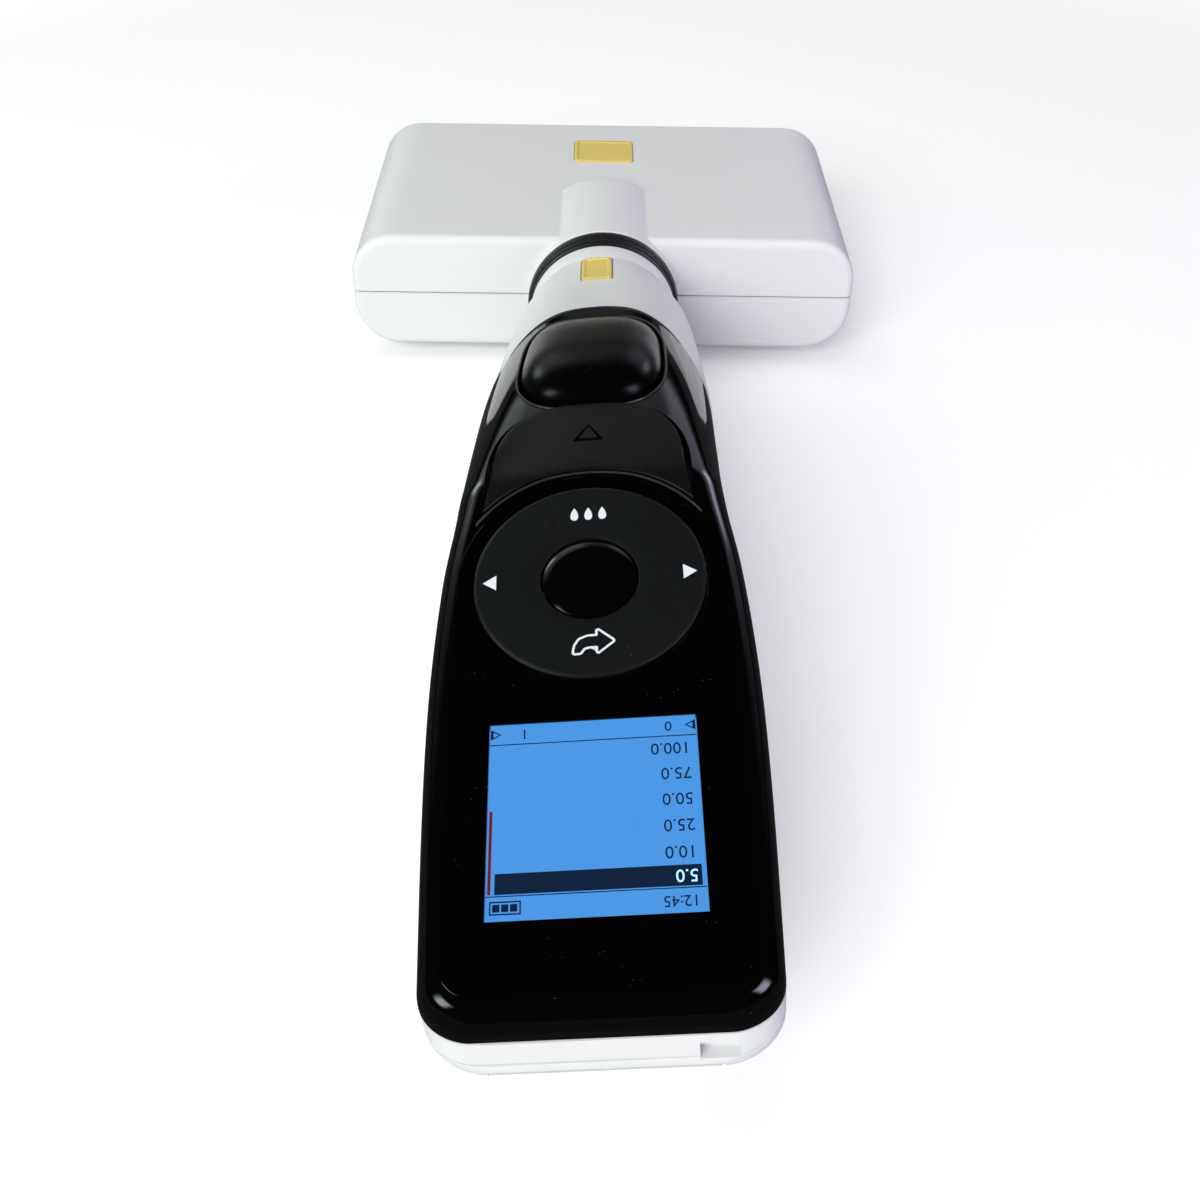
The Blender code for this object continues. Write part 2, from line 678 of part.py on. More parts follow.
def make_shells():
    socket_z = panel_height(HANDLE_END) - SOCKET_DROP
    notch = box("notch", HANDLE,
                (SOCKET_X - SOCKET_WIDTH / 2, HANDLE_END - ZONE_MARGIN, socket_z - SOCKET_HEIGHT / 2),
                (SOCKET_X + SOCKET_WIDTH / 2, HANDLE_END + WALL + GAP, socket_z + SOCKET_HEIGHT / 2))
    door_start = HANDLE_END + DOOR_LENGTH
    door_top = -DISPLAY_FLOOR + DOOR_LIP
    beyond = (HANDLE_END - ZONE_MARGIN, -DISPLAY_FLOOR - ZONE_MARGIN)
    door_way = box("door_way", HANDLE, (-DOOR_HALF_WIDTH - GAP, *beyond),
                   (DOOR_HALF_WIDTH + GAP, door_start + GAP, door_top + GAP))
    door_zone = box("door_zone", HANDLE, (-DOOR_HALF_WIDTH, *beyond),
                    (DOOR_HALF_WIDTH, door_start, door_top))

    rear = handle_form("rear_shell")
    combine(rear, hollow_form)
    combine(rear, upper_outside)
    combine(rear, notch)
    combine(rear, door_way)
    finish(rear, "white")

    door = handle_form("battery_door")
    combine(door, hollow_form)
    combine(door, door_zone, "INTERSECT")
    finish(door, "white")

    badge_pocket = box("badge_pocket", HANDLE,
                       (-NECK_BADGE_HALF - GAP, NECK_BADGE_START - GAP, NECK_RADIUS / 2),
                       (NECK_BADGE_HALF + GAP, NECK_BADGE_END + GAP, 0.030))
    combine(badge_pocket, handle_form("badge_floor", BADGE_THICKNESS - BADGE_PROUD + GAP))
    front = handle_form("front_shell")
    combine(front, hollow_form)
    combine(front, fascia_outside, solver="MANIFOLD")
    combine(front, upper_inside, "INTERSECT")
    combine(front, pin_hole)
    combine(front, notch)
    combine(front, badge_pocket)
    finish(front, "white")

    badge = box("neck_badge", HANDLE, (-NECK_BADGE_HALF, NECK_BADGE_START, NECK_RADIUS / 2),
                (NECK_BADGE_HALF, NECK_BADGE_END, 0.030))
    combine(badge, handle_form("badge_top", -BADGE_PROUD), "INTERSECT")
    combine(badge, handle_form("badge_base", BADGE_THICKNESS - BADGE_PROUD))
    finish(badge, "yellow")

    socket = box("charging_socket", HANDLE,
                 (SOCKET_X - SOCKET_WIDTH / 2, HANDLE_END + WALL + GAP, socket_z - SOCKET_HEIGHT / 2),
                 (SOCKET_X + SOCKET_WIDTH / 2, HANDLE_END + WALL + SOCKET_DEPTH,
                  socket_z + SOCKET_HEIGHT / 2))
    combine(socket, box("socket_mouth", HANDLE,
                        (SOCKET_X - SOCKET_WIDTH / 2 + SOCKET_WALL, HANDLE_END,
                         socket_z - SOCKET_HEIGHT / 2 + SOCKET_WALL),
                        (SOCKET_X + SOCKET_WIDTH / 2 - SOCKET_WALL, HANDLE_END + SOCKET_DEPTH,
                         socket_z + SOCKET_HEIGHT / 2 - SOCKET_WALL)))
    finish(socket, "satin_black")


def lens_outline(grow):
    shoulder = arc((0.0, 0.0), LENS_HALF_WIDTH + grow, 0.0, pi, 20)
    radius = LENS_CORNER
    side = -LENS_HALF_WIDTH - grow + radius
    foot = -LENS_LENGTH - grow + radius
    left = arc((side, foot), radius, pi, 3 * pi / 2, 4)
    right = arc((-side, foot), radius, 3 * pi / 2, 2 * pi, 4)
    return shoulder + left + right


def square_outline(half, centre):
    return [(half, centre + half), (-half, centre + half), (-half, centre - half), (half, centre - half)]


def make_fascia():
    hole_radius = WHEEL_RADIUS + BUTTON_GAP
    pocket_floor = -LENS_THICKNESS - GAP
    below = -0.012
    lens_pocket = plate("lens_pocket", PANEL, [lens_outline(GAP)], pocket_floor, 0.004)
    wheel_hole = plate("wheel_hole", PANEL, [circle((0.0, 0.0), hole_radius, 40)], below, 0.004)
    window = plate("window", PANEL,
                   [square_outline(DISPLAY_FRAME / 2 + GAP, DISPLAY_CENTRE)], below, 0.004)
    run_hole = plate("run_hole", PANEL, [run_outline(BUTTON_GAP)], -0.020, 0.010)
    recess = box("ejector_recess", HANDLE, (-BUTTON_WIDTH / 2 - BUTTON_GAP, RECESS_END, 0.006),
                 (BUTTON_WIDTH / 2 + BUTTON_GAP, RECESS_START, 0.050))
    rounded(recess, BUTTON_ROUND / 2, 2)

    fascia = handle_form("fascia")
    combine(fascia, fascia_hollow)
    combine(fascia, fascia_inside, "INTERSECT")
    combine(fascia, lens_pocket)
    combine(fascia, wheel_hole)
    combine(fascia, window)
    combine(fascia, run_hole)
    combine(fascia, recess)
    combine(fascia, pin_hole)
    finish(fascia, "gloss_black")

    display_half = DISPLAY_SIZE / 2
    lens = plate("lens_panel", PANEL,
                 [lens_outline(0.0), circle((0.0, 0.0), hole_radius, 40),
                  square_outline(display_half + GAP, DISPLAY_CENTRE)], -LENS_THICKNESS, 0.0)
    finish(lens, "gloss_black")


def make_panel_parts():
    display_half = DISPLAY_SIZE / 2
    display = plate("display_module", PANEL, [square_outline(DISPLAY_FRAME / 2, DISPLAY_CENTRE)],
                    -DISPLAY_DEEP, -LENS_THICKNESS - GAP)
    glass = plate("display_glass", PANEL, [square_outline(display_half, DISPLAY_CENTRE)],
                  -DISPLAY_DEEP / 2, -GAP)
    combine(display, glass, "UNION")
    finish(display, "display", smooth=False)

    wheel_top = WHEEL_PROUD
    wheel_bottom = WHEEL_PROUD - WHEEL_THICKNESS
    wheel = turned("touch_wheel", PANEL,
                   tube_profile(OK_RADIUS + BUTTON_GAP, WHEEL_RADIUS, wheel_bottom, wheel_top),
                   36, along="Z")
    finish(wheel, "satin_black")

    gimbal_top = wheel_bottom - WHEEL_TILT_ROOM
    gimbal = turned("wheel_gimbal", PANEL,
                    tube_profile(WHEEL_RADIUS - GIMBAL_WIDTH, WHEEL_RADIUS,
                                 gimbal_top - GIMBAL_THICKNESS, gimbal_top), 24, along="Z")
    finish(gimbal, "grey")

    dome = [(0.0, OK_DOME)]
    steps = 3
    for step in range(1, steps + 1):
        angle = step / steps * pi / 2
        dome.append((OK_RADIUS * sin(angle), OK_DOME * cos(angle)))
    button = turned("ok_button", PANEL, dome + [(OK_RADIUS, -OK_DEPTH), (0.0, -OK_DEPTH)], 24, along="Z")
    finish(button, "gloss_black")

    run = plate("run_button", PANEL, [run_outline(0.0)], -0.020, 0.010)
    combine(run, handle_form("run_top", -RUN_PROUD), "INTERSECT")
    combine(run, handle_form("run_base", RUN_THICKNESS - RUN_PROUD))
    finish(run, "satin_black")

    board = box("main_board", PANEL, (-BOARD_HALF_WIDTH, BOARD_START, BOARD_TOP - BOARD_THICKNESS),
                (BOARD_HALF_WIDTH, BOARD_START + BOARD_LENGTH, BOARD_TOP))
    finish(board, "board", smooth=False)

    battery_top = BOARD_TOP - BOARD_THICKNESS - GAP
    battery_start = BOARD_START + BATTERY_OFFSET
    battery = box("battery_pack", PANEL,
                  (-BATTERY_WIDTH / 2, battery_start, battery_top - BATTERY_THICKNESS),
                  (BATTERY_WIDTH / 2, battery_start + BATTERY_LENGTH, battery_top))
    rounded(battery, 0.0012, 2)
    finish(battery, "battery")


def make_finger_rest():
    bend = (HOOK_Y, HOOK_Z)
    outline = [(HOOK_Y - HOOK_RADIUS, HOOK_Z + HOOK_ROOT)]
    outline += arc(bend, HOOK_RADIUS, pi, 3 * pi / 2 + HOOK_CURL, 12)
    outline += arc(bend, HOOK_RADIUS - HOOK_THICKNESS, 3 * pi / 2 + HOOK_CURL, pi, 12)
    outline += [(HOOK_Y - HOOK_RADIUS + HOOK_THICKNESS, HOOK_Z + HOOK_ROOT)]
    hook = plate("finger_rest", HANDLE, [outline], -HOOK_HALF_WIDTH, HOOK_HALF_WIDTH)
    side_on = Matrix(((0, 0, 1, 0), (1, 0, 0, 0), (0, 1, 0, 0), (0, 0, 0, 1)))
    hook.data.transform(side_on)
    rounded(hook, 0.0008, 1)
    combine(hook, handle_form("hook_seat", -GAP))
    finish(hook, "white")


# Ejector

def make_ejector():
    pivot = Vector((0.0, PIVOT_Y, PIVOT_Z))
    middle = Vector((0.0, BUTTON_Y, BUTTON_TOP - BUTTON_HEIGHT / 2))
    half = Vector((BUTTON_WIDTH, BUTTON_LENGTH, BUTTON_HEIGHT)) / 2
    button = box("ejector_button", HANDLE, -half, half)
    place = Matrix.Translation(middle - pivot) @ Matrix.Rotation(BUTTON_SLOPE, 4, "X")
    button.data.transform(place)
    button.location = pivot
    rounded(button, BUTTON_ROUND, 3)
    lever_half = PRONG_GAP / 2 + PRONG_THICKNESS
    boss = rod("pivot_boss", HANDLE, PIVOT_BOSS, -lever_half, lever_half, 16, pivot, "X")
    combine(button, boss, "UNION")
    neck = box("lever_neck", HANDLE, (-lever_half, PIVOT_Y - LEVER_NECK_LENGTH, PIVOT_Z),
               (lever_half, PIVOT_Y, PIVOT_Z + LEVER_NECK_HEIGHT))
    combine(button, neck, "UNION")
    prong_front = PIVOT_Y - GAP
    for side in (-1, 1):
        inner = side * PRONG_GAP / 2
        outer = side * lever_half
        prong = box(f"prong_{side}", HANDLE,
                    (min(inner, outer), prong_front - PRONG_DEPTH, PRONG_FOOT),
                    (max(inner, outer), prong_front, PIVOT_Z + PIVOT_BOSS / 2))
        combine(button, prong, "UNION")
    combine(button, rod("lever_bore", HANDLE, PIN_RADIUS + GAP, -BUTTON_WIDTH, BUTTON_WIDTH, 12, pivot, "X"))
    finish(button, "gloss_black")

    pin = rod("ejector_pin", HANDLE, PIN_RADIUS, -PIN_REACH, PIN_REACH, 12, pivot, "X")
    finish(pin, "steel")

    flange_start = prong_front + NECK_GAP
    flange_end = flange_start + SLEEVE_FLANGE
    sleeve_end = YOKE_START - NECK_GAP
    sleeve = turned("ejector_sleeve", HANDLE,
                    [(SLEEVE_RADIUS, sleeve_end), (SLEEVE_RADIUS, flange_end),
                     (SLEEVE_FLANGE_RADIUS, flange_end), (SLEEVE_FLANGE_RADIUS, flange_start),
                     (SLEEVE_BORE, flange_start), (SLEEVE_BORE, sleeve_end)], 20)
    finish(sleeve, "grey")

    make_spring()


def make_spring():
    foot = MOUNT_TOP + GAP + SPRING_WIRE
    spring_y = MOUNT_Y + MOUNT_THICKNESS
    curve = bpy.data.curves.new("ejector_spring", "CURVE")
    curve.dimensions = "3D"
    curve.bevel_depth = SPRING_WIRE
    curve.bevel_resolution = 1
    curve.use_fill_caps = True
    spline = curve.splines.new("POLY")
    count = SPRING_TURNS * SPRING_POINTS
    spline.points.add(count)
    for index, point in enumerate(spline.points):
        angle = 2 * pi * index / SPRING_POINTS
        rise = SPRING_HEIGHT * index / count
        point.co = (SPRING_RADIUS * cos(angle), SPRING_RADIUS * sin(angle), rise, 1.0)
    spring = bpy.data.objects.new("ejector_spring", curve)
    spring.parent = HANDLE
    spring.location = (0.0, spring_y, foot)
    parts.objects.link(spring)
    curve.materials.append(material("ejector_spring", *COLOURS["steel"]))


# Motor drive

def make_drive():
    mount_end = MOUNT_Y + MOUNT_THICKNESS
    mount = handle_form("motor_mount", WALL + GAP, TOP_WALL + GAP, HOLLOW_START, HOLLOW_END)
    slab = box("mount_slab", HANDLE, (-0.040, MOUNT_Y, -0.040), (0.040, mount_end, MOUNT_TOP))
    shelf = box("mount_shelf", HANDLE,
                (-SHELF_HALF_WIDTH, mount_end - SHELF_LENGTH / 2, MOUNT_TOP - SHELF_THICKNESS),
                (SHELF_HALF_WIDTH, mount_end + SHELF_LENGTH / 2, MOUNT_TOP))
    combine(mount, slab, "INTERSECT")
    combine(mount, shelf, "UNION")
    combine(mount, rod("mount_bore", HANDLE, MOTOR_BOSS + GAP, MOUNT_Y - 0.001, mount_end + 0.001, 20))
    finish(mount, "grey")

    motor_end = MOUNT_Y - GAP
    bore = SCREW_RADIUS + GAP
    motor = turned("stepper_motor", HANDLE,
                   [(MOTOR_BOSS, mount_end), (MOTOR_BOSS, motor_end), (MOTOR_RADIUS, motor_end),
                    (MOTOR_RADIUS, motor_end - MOTOR_LENGTH), (bore, motor_end - MOTOR_LENGTH),
                    (bore, mount_end)], 20)
    finish(motor, "steel")

    screw = rod("lead_screw", HANDLE, SCREW_RADIUS, motor_end - MOTOR_LENGTH, SCREW_TIP, 12, edge=0.0004)
    finish(screw, "steel")

    nut_end = SCREW_TIP + NUT_FLOOR + GAP + 0.0027
    nut_start = nut_end - NUT_LENGTH
    bore_end = nut_end - NUT_FLOOR
    drive = turned("drive_rod", HANDLE,
                   [(0.0, DISC_END), (DISC_RADIUS, DISC_END), (DISC_RADIUS, DISC_START),
                    (DRIVE_RADIUS, DISC_START), (DRIVE_RADIUS, nut_end), (NUT_RADIUS, nut_end),
                    (NUT_RADIUS, nut_start), (SCREW_RADIUS + GAP, nut_start),
                    (SCREW_RADIUS + GAP, bore_end), (0.0, bore_end)], 16)
    finish(drive, "brass")

    bush = handle_form("neck_bush", WALL + GAP, WALL + GAP, HOLLOW_START, HOLLOW_END)
    combine(bush, box("bush_slab", HANDLE, (-0.040, BUSH_START, -0.040), (0.040, BUSH_END, 0.040)),
            "INTERSECT")
    combine(bush, rod("bush_bore", HANDLE, BORE_RADIUS, BUSH_START - 0.001, BUSH_END + 0.001, 24))
    finish(bush, "grey")


# Neck pieces that turn with the head

def make_neck():
    groove_radius = TUBE_RADIUS - CLIP_GROOVE
    tube = turned("swivel_tube", HEAD,
                  [(TUBE_FLANGE_RADIUS, TUBE_END), (TUBE_FLANGE_RADIUS, TUBE_END - TUBE_FLANGE),
                   (TUBE_RADIUS, TUBE_END - TUBE_FLANGE), (TUBE_RADIUS, CLIP_END + GAP / 2),
                   (groove_radius, CLIP_END + GAP / 2), (groove_radius, CLIP_START - GAP / 2),
                   (TUBE_RADIUS, CLIP_START - GAP / 2), (TUBE_RADIUS, TUBE_START),
                   (TUBE_BORE, TUBE_START), (TUBE_BORE, TUBE_END)], 24)
    finish(tube, "grey")
    clip = turned("retaining_clip", HEAD,
                  tube_profile(groove_radius + GAP, CLIP_RADIUS, CLIP_START, CLIP_END), 20)
    finish(clip, "steel")
    ring = turned("neck_ring", HEAD,
                  tube_profile(BORE_RADIUS, RING_RADIUS, RING_START, RING_END, RING_ROUND), 36)
    finish(ring, "satin_black")
    collar = turned("neck_collar", HEAD,
                    tube_profile(BORE_RADIUS, COLLAR_RADIUS, COLLAR_START, COLLAR_END), 36)
    finish(collar, "white")


# Channel head

def head_block(name, inset):
    outline = round_rectangle(HEAD_WIDTH / 2 - inset, -HEAD_DEPTH / 2 + inset, HEAD_DEPTH / 2 - inset,
                              HEAD_SIDE_RADIUS - inset, 6)
    block = plate(name, HEAD, [outline], inset, HEAD_LENGTH - inset)
    block.data.transform(Matrix.Rotation(-pi / 2, 4, "X"))
    return block


def head_half(name, side):
    half = rounded(head_block(name, 0.0), HEAD_EDGE_RADIUS, 2)
    boss = turned(name + "_boss", HEAD,
                  [(0.0, BOSS_REACH), (BOSS_RADIUS - BOSS_EDGE, BOSS_REACH),
                   (BOSS_RADIUS, BOSS_REACH - BOSS_EDGE), (BOSS_RADIUS, -STUB_LENGTH),
                   (0.0, -STUB_LENGTH)], 48)
    combine(half, boss, "UNION")
    if side < 0:
        pad = box("rest_pad", HEAD, (-PAD_WIDTH / 2, PAD_START, -AXIS_HEIGHT),
                  (PAD_WIDTH / 2, PAD_START + PAD_LENGTH, -HEAD_DEPTH / 2 + HEAD_WALL / 2))
        combine(half, rounded(pad, 0.0014, 2), "UNION")
    combine(half, head_block(name + "_hollow", HEAD_WALL))
    combine(half, rod(name + "_boss_hollow", HEAD, BOSS_RADIUS - HEAD_WALL, HEAD_WALL,
                      BOSS_REACH - HEAD_WALL, 32))
    combine(half, box(name + "_slot", HEAD,
                      (-NOSE_HALF_WIDTH - GAP, HEAD_LENGTH - 2 * HEAD_WALL, -NOSE_HEIGHT / 2 - GAP),
                      (NOSE_HALF_WIDTH + GAP, HEAD_LENGTH + HEAD_WALL, NOSE_HEIGHT / 2 + GAP)))
    combine(half, rod(name + "_bore", HEAD, BORE_RADIUS, -0.010, HEAD_WALL + 0.001, 32))
    for end in (-1, 1):
        combine(half, rod(f"{name}_rod_hole_{end}", HEAD, ROD_RADIUS + GAP,
                          HEAD_LENGTH - HEAD_SIDE_RADIUS, HEAD_LENGTH + HEAD_WALL, 12,
                          (end * ROD_X, 0.0, 0.0)), solver="MANIFOLD")
    if side > 0:
        depth = BADGE_THICKNESS - BADGE_PROUD + GAP
        pocket = badge_plate("head_badge_pocket", GAP, HEAD_DEPTH / 2 - depth, HEAD_DEPTH / 2 + 0.005)
        combine(half, pocket, solver="MANIFOLD")
    keep_low, keep_high = (SEAM / 2, 0.040) if side > 0 else (-0.040, -SEAM / 2)
    combine(half, box(name + "_side", HEAD, (-0.080, -0.020, keep_low), (0.080, 0.100, keep_high)),
            "INTERSECT")
    return finish(half, "white")


def badge_plate(name, grow, low, high):
    half_length = HEAD_BADGE_LENGTH / 2
    outline = round_rectangle(HEAD_BADGE_WIDTH / 2 + grow, HEAD_BADGE_MIDDLE - half_length - grow,
                              HEAD_BADGE_MIDDLE + half_length + grow, 0.0012 + grow, 3)
    return plate(name, HEAD, [outline], low, high)


def make_head():
    head_half("head_front_shell", 1)
    head_half("head_back_shell", -1)
    face = HEAD_DEPTH / 2
    badge = badge_plate("head_badge", 0.0, face + BADGE_PROUD - BADGE_THICKNESS, face + BADGE_PROUD)
    finish(badge, "yellow")

    block = box("cylinder_block", HEAD, (-BLOCK_HALF_WIDTH, BLOCK_START, -BLOCK_HEIGHT / 2),
                (BLOCK_HALF_WIDTH, BLOCK_END, BLOCK_HEIGHT / 2))
    combine(block, box("block_nose", HEAD, (-NOSE_HALF_WIDTH, BLOCK_END - 0.001, -NOSE_HEIGHT / 2),
                       (NOSE_HALF_WIDTH, HEAD_LENGTH + NOSE_PROUD, NOSE_HEIGHT / 2)), "UNION")
    bore_end = FITTING_START - FITTING_SPIGOT_LENGTH - 2 * GAP
    combine(block, row_of_rods("cylinder_bores", PISTON_BORE, BLOCK_START - 0.001, bore_end))
    combine(block, row_of_rods("spigot_bores", FITTING_SPIGOT + GAP, bore_end - 0.001, HEAD_LENGTH + 0.002))
    finish(block, "grey")

    seal = box("seal_plate", HEAD, (-BLOCK_HALF_WIDTH, SEAL_START, -NOSE_HEIGHT / 2),
               (BLOCK_HALF_WIDTH, SEAL_START + SEAL_THICKNESS, NOSE_HEIGHT / 2))
    combine(seal, row_of_rods("seal_bores", PISTON_BORE, SEAL_START - 0.001,
                              SEAL_START + SEAL_THICKNESS + 0.001))
    finish(seal, "rubber")

    make_pistons()
    make_tip_ejector()
    make_fittings()


def make_pistons():
    bar = box("piston_plate", HEAD, (-PLATE_HALF_WIDTH, PLATE_START, -PLATE_HEIGHT / 2),
              (PLATE_HALF_WIDTH, PLATE_END, PLATE_HEIGHT / 2))
    pocket = turned("drive_pocket", HEAD,
                    [(0.0, DISC_END + GAP), (DISC_RADIUS + GAP, DISC_END + GAP),
                     (DISC_RADIUS + GAP, DISC_START - GAP), (DRIVE_RADIUS + GAP, DISC_START - GAP),
                     (DRIVE_RADIUS + GAP, PLATE_START - 0.001), (0.0, PLATE_START - 0.001)], 20)
    combine(bar, pocket)
    combine(bar, row_of_rods("piston_sockets", PISTON_BORE, PLATE_END - PISTON_SOCKET, PLATE_END + 0.001))
    finish(bar, "grey")
    for channel in range(CHANNELS):
        piston = rod(f"piston_{channel + 1:02d}", HEAD, PISTON_RADIUS, PISTON_START,
                     PISTON_START + PISTON_LENGTH, 10, (channel_x(channel), 0.0, 0.0))
        finish(piston, "steel")


def make_tip_ejector():
    yoke_end = YOKE_START + YOKE_THICKNESS
    yoke = box("ejector_yoke", HEAD, (-YOKE_REACH, YOKE_START, -YOKE_HEIGHT / 2),
               (YOKE_REACH, yoke_end, YOKE_HEIGHT / 2))
    combine(yoke, rod("yoke_hub", HEAD, YOKE_HUB, YOKE_START, yoke_end, 24), "UNION")
    for side in (-1, 1):
        push_rod = rod(f"push_rod_{side}", HEAD, ROD_RADIUS, yoke_end - YOKE_THICKNESS / 2,
                       EJECTOR_PLATE_START - GAP, 12, (side * ROD_X, 0.0, 0.0))
        combine(yoke, push_rod, "UNION")
    combine(yoke, rod("yoke_bore", HEAD, DRIVE_RADIUS + GAP, YOKE_START - 0.001, yoke_end + 0.001, 20))
    finish(yoke, "steel")

    plate_end = EJECTOR_PLATE_START + EJECTOR_PLATE_THICKNESS
    ejector = box("ejector_plate", HEAD,
                  (-EJECTOR_PLATE_WIDTH / 2, EJECTOR_PLATE_START, -EJECTOR_PLATE_HEIGHT / 2),
                  (EJECTOR_PLATE_WIDTH / 2, plate_end, EJECTOR_PLATE_HEIGHT / 2))
    rounded(ejector, 0.0008, 1)
    combine(ejector, row_of_rods("fitting_holes", FITTING_HOLE, EJECTOR_PLATE_START - 0.001,
                                 plate_end + 0.001))
    finish(ejector, "white")


def make_fittings():
    shoulder_end = FITTING_START + FITTING_SHOULDER_LENGTH
    profile = [(FITTING_TIP, FITTING_END), (FITTING_SHOULDER, shoulder_end),
               (FITTING_SHOULDER, FITTING_START), (FITTING_SPIGOT, FITTING_START),
               (FITTING_SPIGOT, FITTING_START - FITTING_SPIGOT_LENGTH),
               (FITTING_BORE, FITTING_START - FITTING_SPIGOT_LENGTH), (FITTING_BORE, FITTING_END)]
    for channel in range(CHANNELS):
        fitting = turned(f"tip_fitting_{channel + 1:02d}", HEAD, profile, 10,
                         (channel_x(channel), 0.0, 0.0))
        finish(fitting, "grey")


make_shells()
make_fascia()
make_panel_parts()
make_finger_rest()
make_ejector()
make_drive()
make_neck()
make_head()
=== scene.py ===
import bpy
import bmesh
import json
from math import cos, pi, radians, sin, sqrt, tan
from mathutils import Matrix, Vector


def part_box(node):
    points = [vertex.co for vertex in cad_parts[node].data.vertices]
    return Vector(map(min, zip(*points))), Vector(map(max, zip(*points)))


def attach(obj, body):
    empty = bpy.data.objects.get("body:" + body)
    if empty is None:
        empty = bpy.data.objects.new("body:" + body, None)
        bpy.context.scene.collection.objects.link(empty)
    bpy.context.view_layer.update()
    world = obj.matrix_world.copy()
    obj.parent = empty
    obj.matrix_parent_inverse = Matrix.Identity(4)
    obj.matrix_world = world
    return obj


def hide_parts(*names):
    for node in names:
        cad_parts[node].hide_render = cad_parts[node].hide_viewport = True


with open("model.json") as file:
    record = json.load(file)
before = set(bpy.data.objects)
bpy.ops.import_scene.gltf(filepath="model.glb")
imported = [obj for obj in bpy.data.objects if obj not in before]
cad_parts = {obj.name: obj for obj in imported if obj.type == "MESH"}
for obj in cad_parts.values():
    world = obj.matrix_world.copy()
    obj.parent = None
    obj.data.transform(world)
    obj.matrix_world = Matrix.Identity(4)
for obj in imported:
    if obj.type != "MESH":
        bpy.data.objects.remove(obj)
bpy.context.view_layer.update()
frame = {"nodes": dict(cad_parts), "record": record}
nodes = frame["nodes"]
scene = bpy.context.scene

# Where things stand: the head's near face on the neck axis, and the handle turned a little on the neck
pose = {"neckY": 0.0581378, "neckZ": 0.0175, "handleTurn": radians(5.5)}
headPlace = Matrix.Translation((0.0, pose["neckY"], pose["neckZ"]))
handlePlace = headPlace @ Matrix.Rotation(-pose["handleTurn"], 4, "Y")
clearance = 0.0003


# Camera, at the photograph's angle
view = {"place": (-0.00296, -0.22991, 0.16951), "pitch": radians(40.62), "yaw": radians(0.73),
        "roll": radians(1.114), "lens": 40.27, "sensor": 36.0, "nearest": 0.01}


def setCamera():
    pitch, yaw, roll = view["pitch"], view["yaw"], view["roll"]
    forward = Vector((sin(yaw) * cos(pitch), cos(yaw) * cos(pitch), -sin(pitch)))
    level = Vector((cos(yaw), -sin(yaw), 0.0))
    upright = level.cross(forward)
    right = level * cos(roll) + upright * sin(roll)
    up = upright * cos(roll) - level * sin(roll)
    camera = newPiece("camera", bpy.data.cameras.new("camera"))
    turn = Matrix((right, up, -forward)).transposed()
    camera.matrix_world = Matrix.Translation(view["place"]) @ turn.to_4x4()
    camera.data.lens, camera.data.sensor_width = view["lens"], view["sensor"]
    camera.data.clip_start = view["nearest"]
    scene.camera = camera


def newPiece(name, data, where=None):
    if where is not None:
        data.transform(where)
    piece = bpy.data.objects.new(name, data)
    scene.collection.objects.link(piece)
    return piece


# Nodes. An input is a value, or an output of another node
def feed(tree, node, inputs):
    for name, value in inputs.items():
        if isinstance(value, bpy.types.NodeSocket):
            tree.links.new(value, node.inputs[name])
        else:
            node.inputs[name].default_value = value
    return node


def addNode(tree, kind, inputs=None, **settings):
    node = tree.nodes.new(kind)
    for name, value in settings.items():
        setattr(node, name, value)
    return feed(tree, node, inputs or {})


def mathNode(tree, operation, *values):
    return addNode(tree, "ShaderNodeMath", dict(enumerate(values)), operation=operation).outputs[0]


def ranged(tree, value, low, high, first=0.0, last=1.0, **settings):
    # The value brought from one range into another
    limits = {"Value": value, "From Min": low, "From Max": high, "To Min": first, "To Max": last}
    return addNode(tree, "ShaderNodeMapRange", limits, **settings).outputs["Result"]


def blendColours(tree, mask, first, second):
    first, second = ((*colour, 1.0) if isinstance(colour, tuple) else colour for colour in (first, second))
    return addNode(tree, "ShaderNodeMix", {0: mask, 6: first, 7: second}, data_type="RGBA").outputs[2]


def objectPoint(tree):
    return addNode(tree, "ShaderNodeTexCoord").outputs["Object"]


def noise(tree, where, scale, detail, **more):
    values = {"Vector": where, "Scale": scale, "Detail": detail, **more}
    return addNode(tree, "ShaderNodeTexNoise", values).outputs["Fac"]


def newMaterial(name):
    material = bpy.data.materials.new(name)
    material.use_nodes = True
    return material, material.node_tree, material.node_tree.nodes["Principled BSDF"]


